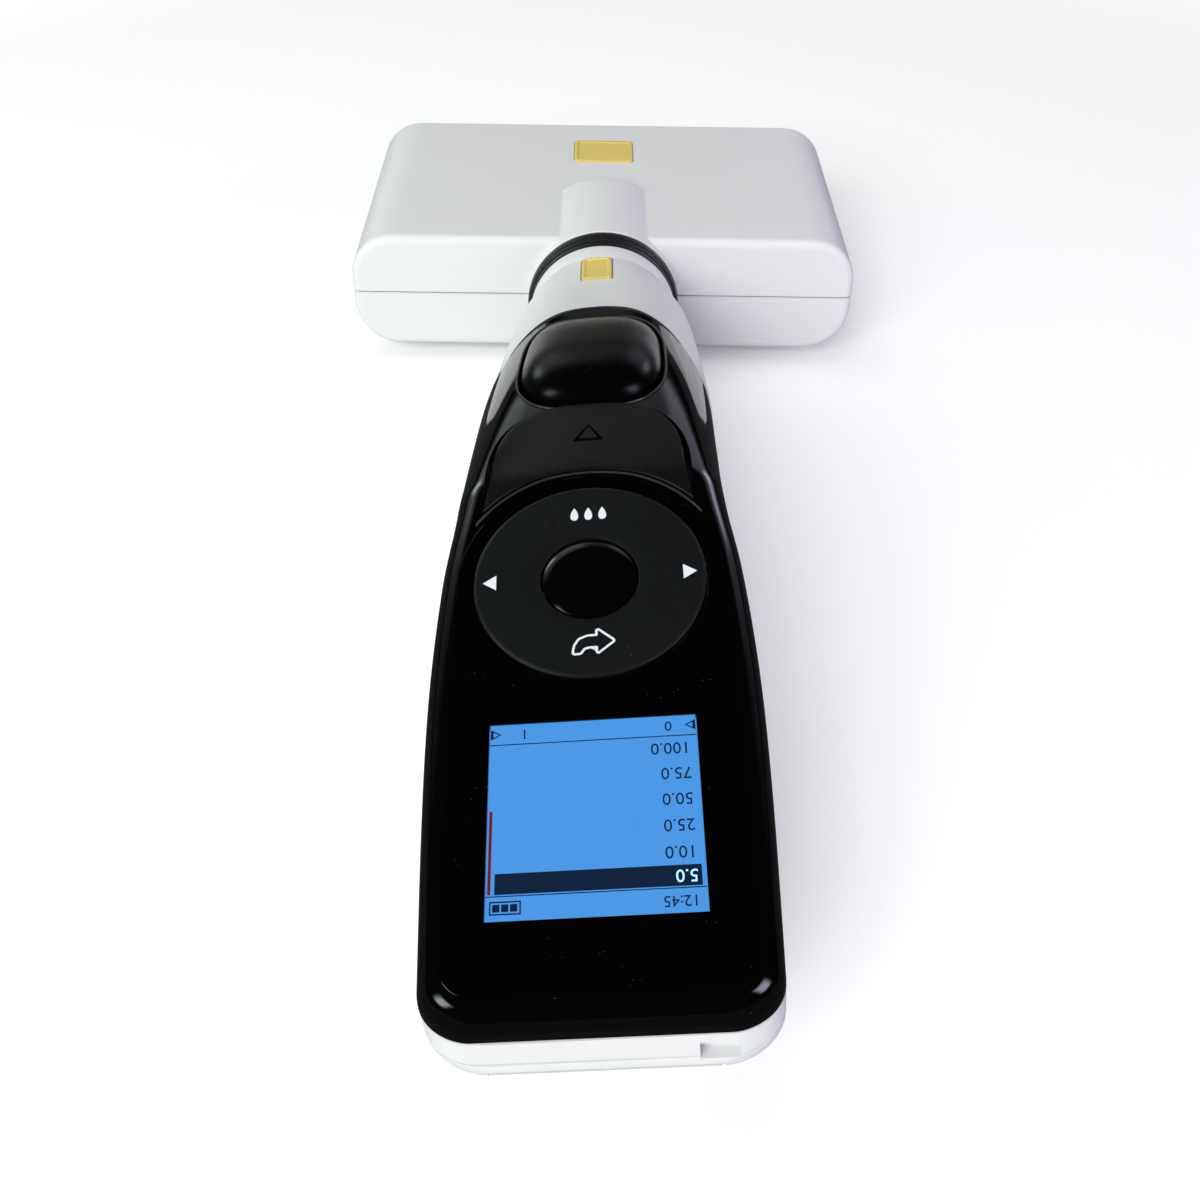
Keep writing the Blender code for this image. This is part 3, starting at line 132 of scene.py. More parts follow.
# Studio: a pale floor and soft lamps. In reflections the room is dark but for soft windows at both
# sides, two beyond the head and two beside the viewer, so that the flat black panel stays deep
# black while its shoulders, lips and corners catch the light. Limits are parts of a direction:
# where a window's edge starts, where it is full, where it falls and where it has gone
studio = {"floorSize": 4.0, "floorTone": 0.95, "mottle": 0.01, "mirroredFloor": 0.05, "lift": 0.17,
          "white": 1.0, "fadeStart": 0.35, "fadeEnd": 1.10, "dark": 0.006, "fill": 0.42, "tintReach": 0.4,
          "leftTint": (0.88, 1.0, 0.92), "rightTint": (0.84, 0.80, 1.0), "aim": (0.0, 0.0, 0.02)}
plainWhite = (1.0, 1.0, 1.0, 1.0)
windows = {
    "beyond": {"strength": 0.42, "X": (0.06, 0.22, 0.62, 0.82), "Y": (0.30, 0.62, 2.0, 3.0),
               "Z": (0.06, 0.16, 0.44, 0.58)},
    "corners": {"strength": 3.2, "X": (0.44, 0.54, 0.62, 0.72), "Y": (0.50, 0.62, 2.0, 3.0),
                "Z": (0.16, 0.24, 0.32, 0.42)},
    "faint": {"strength": 0.16, "X": (-2.0, -1.0, 2.0, 3.0), "Y": (0.30, 0.62, 2.0, 3.0),
              "Z": (0.02, 0.16, 0.34, 0.60)},
    "beside": {"strength": 7.0, "X": (0.40, 0.58, 2.0, 3.0), "Y": (-0.64, -0.44, -0.30, -0.12),
               "Z": (0.22, 0.36, 0.56, 0.72)},
}
lamps = {
    "overhead": {"place": (-0.25, 0.10, 1.00), "size": (0.7, 0.7), "power": 2.4, "colour": (1.0, 1.0, 1.0)},
    "nearKey": {"place": (-0.75, -1.55, 1.02), "size": (1.2, 0.9), "power": 29.0, "colour": (1.0, 1.0, 1.0)},
    "greenBounce": {"place": (-0.90, -0.30, 0.30), "size": (0.4, 0.4), "power": 1.2,
                    "colour": (0.50, 1.0, 0.56)},
    "purpleBounce": {"place": (0.90, -0.30, 0.30), "size": (0.4, 0.4), "power": 1.9,
                     "colour": (0.62, 0.50, 1.0)},
}


def makeFloor():
    # The camera sees it fade into white with distance, and the black plastics see it dark
    mesh = bpy.data.meshes.new("floor")
    half = studio["floorSize"] / 2
    mesh.from_pydata([(-half, -half, 0), (half, -half, 0), (half, half, 0), (-half, half, 0)], [],
                     [(0, 1, 2, 3)])
    floor = newPiece("floor", mesh)
    material, tree, shader = newMaterial("paleTable")
    where, path = objectPoint(tree), addNode(tree, "ShaderNodeLightPath").outputs
    tone = ranged(tree, noise(tree, where, 3.0, 3.0), 0.0, 1.0, studio["floorTone"] - studio["mottle"],
                  studio["floorTone"] + studio["mottle"])
    seen = addNode(tree, "ShaderNodeMix", {"Factor": path["Is Glossy Ray"], "A": tone,
                                           "B": studio["mirroredFloor"]})
    reach = addNode(tree, "ShaderNodeVectorMath", {0: where}, operation="LENGTH").outputs["Value"]
    fade = ranged(tree, reach, studio["fadeStart"], studio["fadeEnd"], studio["lift"], 1.0)
    feed(tree, shader, {"Base Color": seen.outputs["Result"], "Roughness": 0.9, "Specular IOR Level": 0.1,
                        "Emission Color": plainWhite,
                        "Emission Strength": mathNode(tree, "MULTIPLY", path["Is Camera Ray"], fade)})
    mesh.materials.append(material)


def makeRoom():
    world = bpy.data.worlds.new("room")
    scene.world = world
    world.use_nodes = True
    tree = world.node_tree
    tree.nodes.clear()
    direction = addNode(tree, "ShaderNodeTexCoord").outputs["Generated"]
    parts = addNode(tree, "ShaderNodeSeparateXYZ", {"Vector": direction}).outputs
    lines = {"X": mathNode(tree, "ABSOLUTE", parts["X"]), "Y": parts["Y"], "Z": parts["Z"]}

    def ramp(line, first, last, low=0.0, high=1.0):
        return ranged(tree, line, first, last, low, high, interpolation_type="SMOOTHSTEP")

    light = studio["dark"]
    for window in windows.values():
        amount = window["strength"]
        for axis, line in lines.items():
            rise, top, fall, end = window[axis]
            share = mathNode(tree, "MULTIPLY", ramp(line, rise, top), ramp(line, fall, end, 1.0, 0.0))
            amount = mathNode(tree, "MULTIPLY", amount, share)
        light = mathNode(tree, "ADD", light, amount)
    tint = blendColours(tree, ramp(parts["X"], -studio["tintReach"], studio["tintReach"]), studio["leftTint"],
                        studio["rightTint"])
    mirrored, fill, white = [addNode(tree, "ShaderNodeBackground", values).outputs[0] for values in (
        {"Color": tint, "Strength": light}, {"Strength": studio["fill"]},
        {"Color": plainWhite, "Strength": studio["white"]})]
    path = addNode(tree, "ShaderNodeLightPath").outputs
    unseen = addNode(tree, "ShaderNodeMixShader", {0: path["Is Glossy Ray"], 1: fill, 2: mirrored})
    mixed = addNode(tree, "ShaderNodeMixShader", {0: path["Is Camera Ray"], 1: unseen.outputs[0], 2: white})
    addNode(tree, "ShaderNodeOutputWorld", {"Surface": mixed.outputs[0]})


def makeLamps():
    for name, lamp in lamps.items():
        light = bpy.data.lights.new(name, "AREA")
        light.shape = "RECTANGLE"
        light.size, light.size_y = lamp["size"]
        light.energy, light.color = lamp["power"], lamp["colour"]
        holder = newPiece(name, light)
        aim = Vector(studio["aim"]) - Vector(lamp["place"])
        holder.matrix_world = (Matrix.Translation(lamp["place"])
                               @ aim.to_track_quat("-Z", "Y").to_matrix().to_4x4())
        holder.visible_glossy = False


setCamera()
makeFloor()
makeRoom()
makeLamps()
print("stage and lamps placed")


# Surface effects that several finishes share
def newGroup(name, inputs, outputs):
    group = bpy.data.node_groups.new(name, "ShaderNodeTree")
    for label, value in inputs.items():
        entry = group.interface.new_socket(label, in_out="INPUT", socket_type="NodeSocketFloat")
        entry.default_value = value
    for label in outputs:
        group.interface.new_socket(label, in_out="OUTPUT", socket_type="NodeSocketFloat")
    return group, group.nodes.new("NodeGroupInput").outputs, group.nodes.new("NodeGroupOutput")


def makeGrainGroup():
    # Fine spark texture of a moulding tool: a pebbled height and a slight change of tone
    group, given, result = newGroup("mouldGrain", {"Size": 0.0004, "Unevenness": 0.5}, ("Height", "Tone"))
    where = objectPoint(group)
    often = mathNode(group, "DIVIDE", 1.0, given["Size"])
    pebbles = addNode(group, "ShaderNodeTexVoronoi", {"Vector": where, "Scale": often}, feature="SMOOTH_F1")
    fine = mathNode(group, "MULTIPLY", noise(group, where, often, 4.0, Roughness=0.6), given["Unevenness"])
    feed(group, result, {"Height": mathNode(group, "ADD", pebbles.outputs["Distance"], fine),
                         "Tone": noise(group, where, 28.0, 2.0)})
    return group


# How much of each noise shows: from the first level, fully at the second
handling = {"smears": (0.42, 0.72), "scratches": (0.70, 0.78), "specks": (0.10, 0.04), "few": (0.60, 0.66),
            "fewScale": 190.0, "scratchTurn": (0.0, 0.0, 0.6), "scratchStretch": (1.0, 0.05, 0.4)}


def makeHandlingGroup():
    # What hands leave on a glossy surface: soft smears, hairline scratches and specks of dust
    spans = {"SmearSize": 0.02, "ScratchSize": 0.003, "DustSize": 0.0009}
    group, given, result = newGroup("handlingMarks", spans, ("Smears", "Scratches", "Dust"))
    where = objectPoint(group)
    smearScale, scratchScale, dustScale = [mathNode(group, "DIVIDE", 1.0, given[name]) for name in spans]
    smear = noise(group, where, smearScale, 5.0, Roughness=0.55, Distortion=1.2)
    slanted = addNode(group, "ShaderNodeMapping", {"Vector": where, "Rotation": handling["scratchTurn"],
                                                   "Scale": handling["scratchStretch"]})
    scratch = noise(group, slanted.outputs["Vector"], scratchScale, 2.0)
    specks = addNode(group, "ShaderNodeTexVoronoi", {"Vector": where, "Scale": dustScale}, feature="F1")
    small = ranged(group, specks.outputs["Distance"], *handling["specks"])
    few = ranged(group, noise(group, where, handling["fewScale"], 1.0), *handling["few"])
    feed(group, result, {"Smears": ranged(group, smear, *handling["smears"]),
                         "Scratches": ranged(group, scratch, *handling["scratches"]),
                         "Dust": mathNode(group, "MULTIPLY", small, few)})
    return group


grainGroup = makeGrainGroup()
handlingGroup = makeHandlingGroup()


def useGroup(tree, group, **values):
    return addNode(tree, "ShaderNodeGroup", values, node_tree=group).outputs


def bumped(tree, height, distance, strength=1.0):
    values = {"Height": height, "Distance": distance, "Strength": strength}
    return addNode(tree, "ShaderNodeBump", values).outputs["Normal"]


# Moulded plastics. The columns are the colour, the roughness, the tool texture's size and depth in
# metres, the share by which the colour drifts, what smears and scratches add to the roughness,
# how white dust makes it, and the shader's level of reflection
plasticColumns = ("colour", "roughness", "grain", "depth", "wander", "smear", "scratch", "dust", "gloss")
plastics = {
    "casing_white": ((0.78, 0.785, 0.79), 0.36, 0.00045, 0.000010, 0.02, 0.07, 0.10, 0.0, 0.5),
    "fascia_black": ((0.0011, 0.0011, 0.0013), 0.045, 0.004, 0.000004, 0.2, 0.035, 0.12, 0.10, 0.5),
    "lens_black": ((0.0007, 0.0007, 0.0008), 0.025, 0.02, 0.000001, 0.1, 0.03, 0.08, 0.10, 0.5),
    "button_black": ((0.0052, 0.0055, 0.0052), 0.34, 0.0005, 0.000004, 0.2, 0.06, 0.12, 0.12, 0.30),
    "ejector_black": ((0.0012, 0.0012, 0.0013), 0.25, 0.001, 0.000002, 0.2, 0.05, 0.10, 0.12, 0.14),
    # The lips' lighter grey is a painted highlight: the real lips are moulded in the cover's black
    "lip_painted_highlight": ((0.030, 0.031, 0.031), 0.34, 0.0004, 0.000002, 0.2, 0.08, 0.10, 0.0, 0.5),
    "wheel_black": ((0.0044, 0.0053, 0.0056), 0.50, 0.00022, 0.000014, 0.25, 0.08, 0.10, 0.22, 0.5),
    "ring_black": ((0.012, 0.013, 0.012), 0.42, 0.0003, 0.000008, 0.2, 0.08, 0.10, 0.12, 0.5),
    "badge_yellow": ((0.83, 0.64, 0.175), 0.40, 0.0006, 0.000016, 0.10, 0.08, 0.10, 0.0, 0.5),
    "inner_grey": ((0.33, 0.34, 0.35), 0.46, 0.0005, 0.000014, 0.05, 0.06, 0.10, 0.0, 0.5),
    "seal_rubber": ((0.05, 0.05, 0.055), 0.70, 0.0004, 0.00002, 0.10, 0.06, 0.05, 0.05, 0.5),
    "battery_grey": ((0.24, 0.28, 0.34), 0.42, 0.003, 0.00003, 0.08, 0.10, 0.12, 0.05, 0.5),
}
dustColour = (0.55, 0.56, 0.58)


def plasticFinish(name, row):
    values = dict(zip(plasticColumns, row))
    material, tree, shader = newMaterial(name)
    grain, worn = useGroup(tree, grainGroup, Size=values["grain"]), useGroup(tree, handlingGroup)
    darker = tuple(channel * (1.0 - values["wander"]) for channel in values["colour"])
    tone = blendColours(tree, grain["Tone"], darker, values["colour"])
    if values["dust"] > 0.0:
        tone = blendColours(tree, mathNode(tree, "MULTIPLY", worn["Dust"], values["dust"]), tone, dustColour)
    smeared = mathNode(tree, "MULTIPLY_ADD", worn["Smears"], values["smear"], values["roughness"])
    scratched = mathNode(tree, "MULTIPLY_ADD", worn["Scratches"], values["scratch"], smeared)
    feed(tree, shader, {"Base Color": tone, "Roughness": scratched, "Specular IOR Level": values["gloss"],
                        "Normal": bumped(tree, grain["Height"], values["depth"])})
    return material


# Metals, brushed along the neck
metals = {
    "steel": {"colour": (0.62, 0.63, 0.65), "tarnish": (0.42, 0.43, 0.45), "roughness": 0.26},
    "brass": {"colour": (0.80, 0.60, 0.27), "tarnish": (0.55, 0.38, 0.16), "roughness": 0.30},
}


def metalFinish(name, values):
    material, tree, shader = newMaterial(name)
    drawn = addNode(tree, "ShaderNodeMapping", {"Vector": objectPoint(tree), "Scale": (1.0, 0.04, 1.0)})
    brush = noise(tree, drawn.outputs["Vector"], 2600.0, 3.0)
    worn = useGroup(tree, handlingGroup, SmearSize=0.006)
    tone = blendColours(tree, worn["Smears"], values["colour"], values["tarnish"])
    feed(tree, shader, {
        "Metallic": 1.0, "Base Color": tone,
        "Roughness": mathNode(tree, "MULTIPLY_ADD", brush, 0.16, values["roughness"] - 0.06),
        "Normal": bumped(tree, brush, 0.000004, 0.5)})
    return material


def boardFinish():
    # Green solder mask with paler copper tracks under it
    material, tree, shader = newMaterial("board_green")
    where = objectPoint(tree)
    tracks = addNode(tree, "ShaderNodeTexBrick", {
        "Vector": where, "Color1": (0.02, 0.16, 0.07, 1), "Color2": (0.025, 0.18, 0.08, 1),
        "Mortar": (0.06, 0.32, 0.14, 1), "Scale": 240.0, "Mortar Size": 0.05}).outputs
    pads = addNode(tree, "ShaderNodeTexVoronoi", {"Vector": where, "Scale": 420.0, "Randomness": 0.25})
    dots = ranged(tree, pads.outputs["Distance"], 0.22, 0.16)
    worn = useGroup(tree, handlingGroup)
    feed(tree, shader, {"Base Color": blendColours(tree, dots, tracks["Color"], (0.75, 0.72, 0.62)),
                        "Roughness": mathNode(tree, "MULTIPLY_ADD", worn["Smears"], 0.1, 0.3),
                        "Normal": bumped(tree, tracks["Fac"], 0.00004)})
    return material


def printFinish(name, colour, roughness=0.45, glow=0.0):
    # Printed ink, a little uneven in strength
    material, tree, shader = newMaterial(name)
    grain = useGroup(tree, grainGroup, Size=0.0003)
    tone = blendColours(tree, grain["Height"], tuple(channel * 0.88 for channel in colour), colour)
    feed(tree, shader, {"Base Color": tone, "Roughness": roughness})
    if glow > 0.0:
        feed(tree, shader, {"Emission Color": tone, "Emission Strength": glow})
    return material


finishes = {name: plasticFinish(name, row) for name, row in plastics.items()}
finishes.update({name: metalFinish(name, values) for name, values in metals.items()})
finishes["board_green"] = boardFinish()
finishes["ink_white"] = printFinish("ink_white", (0.80, 0.84, 0.87))
print("finishes mixed")


# Building blocks
def fromShape(name, shape, where):
    bmesh.ops.remove_doubles(shape, verts=shape.verts, dist=0.0000005)
    bmesh.ops.recalc_face_normals(shape, faces=shape.faces)
    mesh = bpy.data.meshes.new(name)
    shape.to_mesh(mesh)
    shape.free()
    return newPiece(name, mesh, where)


def evaluated(piece):
    return bpy.data.meshes.new_from_object(piece.evaluated_get(bpy.context.evaluated_depsgraph_get()))


def settle(piece):
    # Works the modifiers into the mesh
    old, mesh = piece.data, evaluated(piece)
    piece.modifiers.clear()
    piece.data = mesh
    bpy.data.meshes.remove(old)
    return piece


def carve(piece, *tools, how="DIFFERENCE", keepTools=False):
    for tool in tools:
        cut = piece.modifiers.new("cut", "BOOLEAN")
        cut.operation, cut.solver, cut.object = how, "MANIFOLD", tool
        settle(piece)
        if not keepTools:
            bpy.data.objects.remove(tool, do_unlink=True)
    return piece


def place(piece, body, finish, *replaced, sharp=32, ink=None):
    # Shading, finish, the body it rides on and the solids that it stands for
    mesh = piece.data
    mesh.polygons.foreach_set("use_smooth", [True] * len(mesh.polygons))
    mesh.set_sharp_from_angle(angle=radians(sharp))
    mesh.materials.clear()
    mesh.materials.append(finishes[ink or finish])
    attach(piece, body)
    if replaced:
        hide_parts(*replaced)
    return piece


def evenShade(piece):
    # Large flat faces keep their own normal at their corners
    piece.modifiers.new("evenShade", "WEIGHTED_NORMAL").keep_sharp = True
    return settle(piece)


def even(count):
    return [step / count for step in range(count + 1)]


def arc(centre, radius, start, end, steps):
    angles = [start + (end - start) * share for share in even(steps)]
    return [(centre[0] + radius * cos(angle), centre[1] + radius * sin(angle)) for angle in angles]


def circle(centre, radius, steps=96):
    return arc(centre, radius, 0.0, 2 * pi * (steps - 1) / steps, steps - 1)


def roundRectangle(halfWidth, low, high, radius, steps=8):
    corners = [(halfWidth - radius, high - radius), (radius - halfWidth, high - radius),
               (radius - halfWidth, low + radius), (halfWidth - radius, low + radius)]
    return [point for quarter, corner in enumerate(corners)
            for point in arc(corner, radius, quarter * pi / 2, (quarter + 1) * pi / 2, steps)]


def rectangle(left, right, low, high):
    return [(left, low), (right, low), (right, high), (left, high)]


def softCorners(points, radius, steps=4):
    # The outline with every corner eased
    eased = []
    for index, point in enumerate(points):
        here = Vector(point)
        back = Vector(points[index - 1]) - here
        ahead = Vector(points[(index + 1) % len(points)]) - here
        first = here + back.normalized() * min(radius, back.length * 0.45)
        last = here + ahead.normalized() * min(radius, ahead.length * 0.45)
        eased += [tuple(first * (1 - t) ** 2 + here * 2 * t * (1 - t) + last * t * t) for t in even(steps)]
    return eased


def nearEnds(here, there, reach):
    # Two points near the ends of a straight side, so that it is shaded flat
    here, there = Vector(here), Vector(there)
    share = min(0.25, reach / max((there - here).length, 0.0001))
    return [tuple(here.lerp(there, share)), tuple(there.lerp(here, share))]


def slab(name, low, high, where):
    shape = bmesh.new()
    bmesh.ops.create_cube(shape, size=1.0)
    for vert in shape.verts:
        vert.co = Vector([low[axis] if vert.co[axis] < 0 else high[axis] for axis in range(3)])
    return fromShape(name, shape, where)


def skin(shape, rings, steps):
    # Quads between each ring and the next
    for ring, following in zip(rings, rings[1:]):
        for index in range(steps):
            after = (index + 1) % len(ring)
            shape.faces.new((ring[index], ring[after], following[after], following[index]))


def loft(name, sections, where, capped=True):
    # A closed skin through sections with the same number of points. Each end gets a narrow flat
    # band inside its rim, so that the flat face is shaded flat
    def banded(section):
        middle = sum((Vector(point) for point in section), Vector()) / len(section)
        reach = max((Vector(point) - middle).length for point in section)
        return [Vector(point).lerp(middle, min(0.2, 0.0003 / reach)) for point in section]
    shape = bmesh.new()
    rows = [banded(sections[0])] + list(sections) + [banded(sections[-1])] if capped else sections
    rings = [[shape.verts.new(point) for point in row] for row in rows]
    skin(shape, rings, len(rings[0]))
    shape.faces.new(rings[0])
    shape.faces.new(rings[-1])
    return fromShape(name, shape, where)


def turned(name, profile, where, segments=96, axis="Y"):
    # A profile of (radius, height) points swept round an axis; its ends may lie on the axis
    shape = bmesh.new()
    rings = []
    for step in range(segments):
        angle = 2 * pi * step / segments
        ring = [(radius * cos(angle), radius * sin(angle), height) for radius, height in profile]
        if axis == "Y":
            ring = [(x, z, y) for x, y, z in ring]
        rings.append([shape.verts.new(point) for point in ring])
    closed = profile[0][0] > 0.0 or profile[-1][0] > 0.0
    skin(shape, rings + rings[:1], len(profile) if closed else len(profile) - 1)
    bmesh.ops.remove_doubles(shape, verts=shape.verts, dist=0.0000005)
    bmesh.ops.dissolve_degenerate(shape, edges=shape.edges, dist=0.0000002)
    return fromShape(name, shape, where)


def rod(name, radius, low, high, where, segments=96):
    return turned(name, [(0.0, low), (radius, low), (radius, high), (0.0, high)], where, segments)


def closedGrid(name, rows, where):
    # A closed form from rows of (upper, lower) points: two skins, and walls round their rim
    shape = bmesh.new()
    grid = [[[shape.verts.new(point) for point in pair] for pair in row] for row in rows]
    for layer in (0, 1):
        skin(shape, [[pair[layer] for pair in row] for row in grid], len(grid[0]) - 1)
    for border in (grid[0], grid[-1], [row[0] for row in grid], [row[-1] for row in grid]):
        skin(shape, border, 1)
    return fromShape(name, shape, where)


def meshFrom(name, data):
    # What a curve or a text evaluates to
    holder = newPiece(name, data)
    mesh = evaluated(holder)
    bpy.data.objects.remove(holder, do_unlink=True)
    return mesh


def curveMesh(name, lines, closed, **settings):
    curve = bpy.data.curves.new(name, "CURVE")
    for label, value in settings.items():
        setattr(curve, label, value)
    for line in lines:
        spline = curve.splines.new("POLY")
        spline.points.add(len(line) - 1)
        for target, point in zip(spline.points, line):
            target.co = (*point, *[0.0] * (3 - len(point)), 1.0)
        spline.use_cyclic_u = closed
    return meshFrom(name + "Line", curve)


def sheetOf(name, outlines, low, high, where, edge=0.0):
    # A flat sheet from one outline, with any further outlines as holes and its edges eased
    shape = bmesh.new()
    shape.from_mesh(curveMesh(name, outlines, True, dimensions="2D", fill_mode="BOTH",
                              extrude=(high - low) / 2 - edge, bevel_depth=edge, bevel_resolution=1,
                              offset=-edge))
    bmesh.ops.translate(shape, vec=(0.0, 0.0, (low + high) / 2), verts=shape.verts)
    return fromShape(name, shape, where)


def bead(name, points, radius, where, closed=False):
    # A thin round lip along a path
    mesh = curveMesh(name, [points], closed, dimensions="3D", bevel_depth=radius, bevel_resolution=2,
                     use_fill_caps=True)
    return newPiece(name, mesh, where)


# The handle's form, worked out along its length
panel = {"tilt": radians(14.43), "y": -0.1377, "z": 0.0273, "lens": 0.061, "end": 0.0035}
grip = {"length": -panel["y"] + panel["lens"] * cos(panel["tilt"]) + panel["end"], "neckEnd": -0.0142,
        "neckRadius": 0.0168, "bend": -0.119, "swell": 1.7, "wall": 0.002, "topWall": 0.003,
        "corner": 0.0064, "bow": 0.0012, "bowReach": 0.008, "topRound": 0.0032, "footRound": 0.0036,
        "depth": 0.0134, "keel": 0.0013, "floor": 0.0030, "hollowStart": -0.0092, "step": 0.0014,
        "hollowStep": 0.004, "cornerSteps": 12, "seam": 0.0003, "coverDrop": 0.0048, "splitDrop": 0.0096,
        "least": 0.00005, "beyond": 0.010}
panelPlace = (handlePlace @ Matrix.Translation((0.0, panel["y"], panel["z"]))
              @ Matrix.Rotation(panel["tilt"], 4, "X"))


def panelHeight(y):
    return panel["z"] + (y - panel["y"]) * tan(panel["tilt"])


def topHeight(y):
    if y <= grip["bend"]:
        return panelHeight(y)
    share = max(0.0, (grip["neckEnd"] - y) / (grip["neckEnd"] - grip["bend"]))
    rise = panelHeight(grip["bend"]) - grip["neckRadius"]
    return grip["neckRadius"] + rise * sin(share * pi / 2) ** grip["swell"]


def makeStations():
    # For each line of the form, places along the neck axis and the value there
    neckEnd, bend, end, radius = grip["neckEnd"], grip["bend"], -grip["length"], grip["neckRadius"]
    shoulder, gripEnd, besideWheel, display = neckEnd - 0.026, bend + 0.019, bend - 0.015, bend - 0.033
    middle = (shoulder + gripEnd) / 2
    late = (middle + gripEnd) / 2 - 0.004
    depth, keel, low = grip["depth"], grip["keel"], grip["floor"]
    return {
        "width": [(neckEnd, radius), (neckEnd - 0.010, 0.0195), (shoulder, 0.0207), (middle, 0.0213),
                  (gripEnd, 0.0209), (bend, 0.0209), (besideWheel, 0.0225), (display, 0.0235),
                  (end + 0.030, 0.0235), (end, 0.0226)],
        "bottom": [(neckEnd, -radius), (shoulder, -depth - keel), (middle, -depth), (gripEnd, -depth + keel),
                   (bend, -(depth + low) / 2), (besideWheel, -low), (end, -low)],
        "upper": [(neckEnd, radius - 0.0001), (shoulder, 0.0160), (middle, 0.0135), (gripEnd, 0.0095),
                  (bend, 0.0062), (panel["y"], 0.0048), (end, 0.0045)],
        "lower": [(neckEnd, radius - 0.0001), (shoulder, 0.0150), (gripEnd, 0.0130), (besideWheel, 0.0080),
                  (display, 0.0065), (end, 0.0055)],
        "seam": [(-0.044, 0.0196), (-0.060, 0.0200), (middle, 0.0188), (-0.080, 0.0193), (late, 0.0206),
                 ((gripEnd + bend) / 2, 0.0245)]
                + [(y, panelHeight(y) - grip["coverDrop"]) for y in (panel["y"], display, end)],
        "split": [(neckEnd, 0.0), (shoulder, 0.0008), (late, 0.0060), (bend, 0.0135)]
                 + [(y, panelHeight(y) - grip["splitDrop"]) for y in (display, end)],
    }


stations = makeStations()


def along(kind, y):
    # Smooth curve through the stations
    places = stations[kind]
    if y >= places[0][0]:
        return places[0][1]
    if y <= places[-1][0]:
        return places[-1][1]
    index = next(i for i in range(len(places) - 1) if places[i + 1][0] <= y)

    def slope(i):
        before, after = places[max(i - 1, 0)], places[min(i + 1, len(places) - 1)]
        return (after[1] - before[1]) / (after[0] - before[0])
    (start, low), (end, high) = places[index], places[index + 1]
    span = end - start
    t = (y - start) / span
    return ((2 * t**3 - 3 * t**2 + 1) * low + (t**3 - 2 * t**2 + t) * span * slope(index)
            + (3 * t**2 - 2 * t**3) * high + (t**3 - t**2) * span * slope(index + 1))


def drawnIn(kind, inset, distance):
    # How far a rounding before a wall draws a side in, at a distance from that wall
    radius = max(grip[kind] - inset, 0.0006)
    reach = max(radius - distance, 0.0)
    return radius - sqrt(radius**2 - reach**2)


def handleSection(y, inset, topInset, end):
    distance = y - end
    over, under = drawnIn("topRound", inset, distance), drawnIn("footRound", inset, distance)
    halfWidth = along("width", y) - inset - drawnIn("corner", inset, distance)
    top = topHeight(y) - max(inset, topInset) - over
    bottom = along("bottom", y) + inset + under
    upper = min(along("upper", y) - inset - over, halfWidth - grip["least"])
    lower = min(along("lower", y) - inset - under, halfWidth - grip["least"])
    most = top - bottom - 2 * grip["least"]
    if upper + lower > most:
        upper, lower = upper * most / (upper + lower), lower * most / (upper + lower)
    corners = [(halfWidth - upper, top - upper, upper), (upper - halfWidth, top - upper, upper),
               (lower - halfWidth, bottom + lower, lower), (halfWidth - lower, bottom + lower, lower)]
    arcs = [arc((across, height), radius, quarter * pi / 2, (quarter + 1) * pi / 2, grip["cornerSteps"])
            for quarter, (across, height, radius) in enumerate(corners)]
    points = []
    for bend, following in zip(arcs, arcs[1:] + arcs[:1]):
        points += bend + nearEnds(bend[-1], following[0], 0.0004)
    # The end wall is bowed a little: its sides stand back
    lag = grip["bow"] * max(0.0, 1.0 - distance / grip["bowReach"]) ** 2
    return [(across, y + lag * (across / along("width", y)) ** 2, height) for across, height in points]


def handleForm(name, inset=0.0, topInset=0.0, start=grip["neckEnd"], end=-grip["length"], step=grip["step"]):
    last = end + grip["corner"]
    places = [start + (last - start) * share for share in even(round((start - last) / step))]
    places += [end + grip["corner"] * (1 - sin(share * pi / 2)) for share in even(14)[1:]]
    return loft(name, [handleSection(y, inset, topInset, end) for y in places], handlePlace)


def sideZone(name, kind, grow, halfWidths, reach=0.060):
    # Everything above a side line and inside a plan outline, grown by a clearance
    sections = []
    for y, half in halfWidths:
        low, wide = along(kind, y) - grow, half + grow
        sections.append([(wide, y, low), (wide, y, reach), (-wide, y, reach), (-wide, y, low)])
    return loft(name, sections, handlePlace, capped=False)


cover = {"apex": -0.044, "apexLength": 0.032, "halfWidth": 0.0190, "first": radians(3), "last": radians(60),
         "open": 0.0430, "rim": 0.00035, "rimSunk": 0.0001, "rimDrop": 0.0004, "rimWidth": 0.0165}


def coverTip():
    angles = [cover["first"] + (cover["last"] - cover["first"]) * share for share in even(24)]
    return [(cover["apex"] - cover["apexLength"] * (1 - cos(angle)), cover["halfWidth"] * sin(angle))
            for angle in angles]


def coverZone(name, grow):
    # The black cover's outline: a blunt rounded tip towards the neck, then open to both sides
    places = coverTip()
    places[0] = (places[0][0] + grow, places[0][1])
    start, finish = places[-1][0] - 0.0002, -grip["length"] - grip["beyond"]
    places += [(start + (finish - start) * share, cover["open"]) for share in even(90)]
    return sideZone(name, "seam", grow, places)


def casingZone(name, grow):
    first, last = grip["neckEnd"] + grip["beyond"], -grip["length"] - grip["beyond"]
    return sideZone(name, "split", grow, [(first + (last - first) * share, 0.050) for share in even(120)])


def surfaceHeight(x, y, proud=0.0):
    # Height of the handle's upper surface above the neck axis
    halfWidth = along("width", y) + proud
    radius = min(along("upper", y) + proud, halfWidth - grip["least"])
    over = max(0.0, abs(x) - (halfWidth - radius))
    return topHeight(y) + proud - radius + sqrt(max(0.0, radius**2 - over**2))


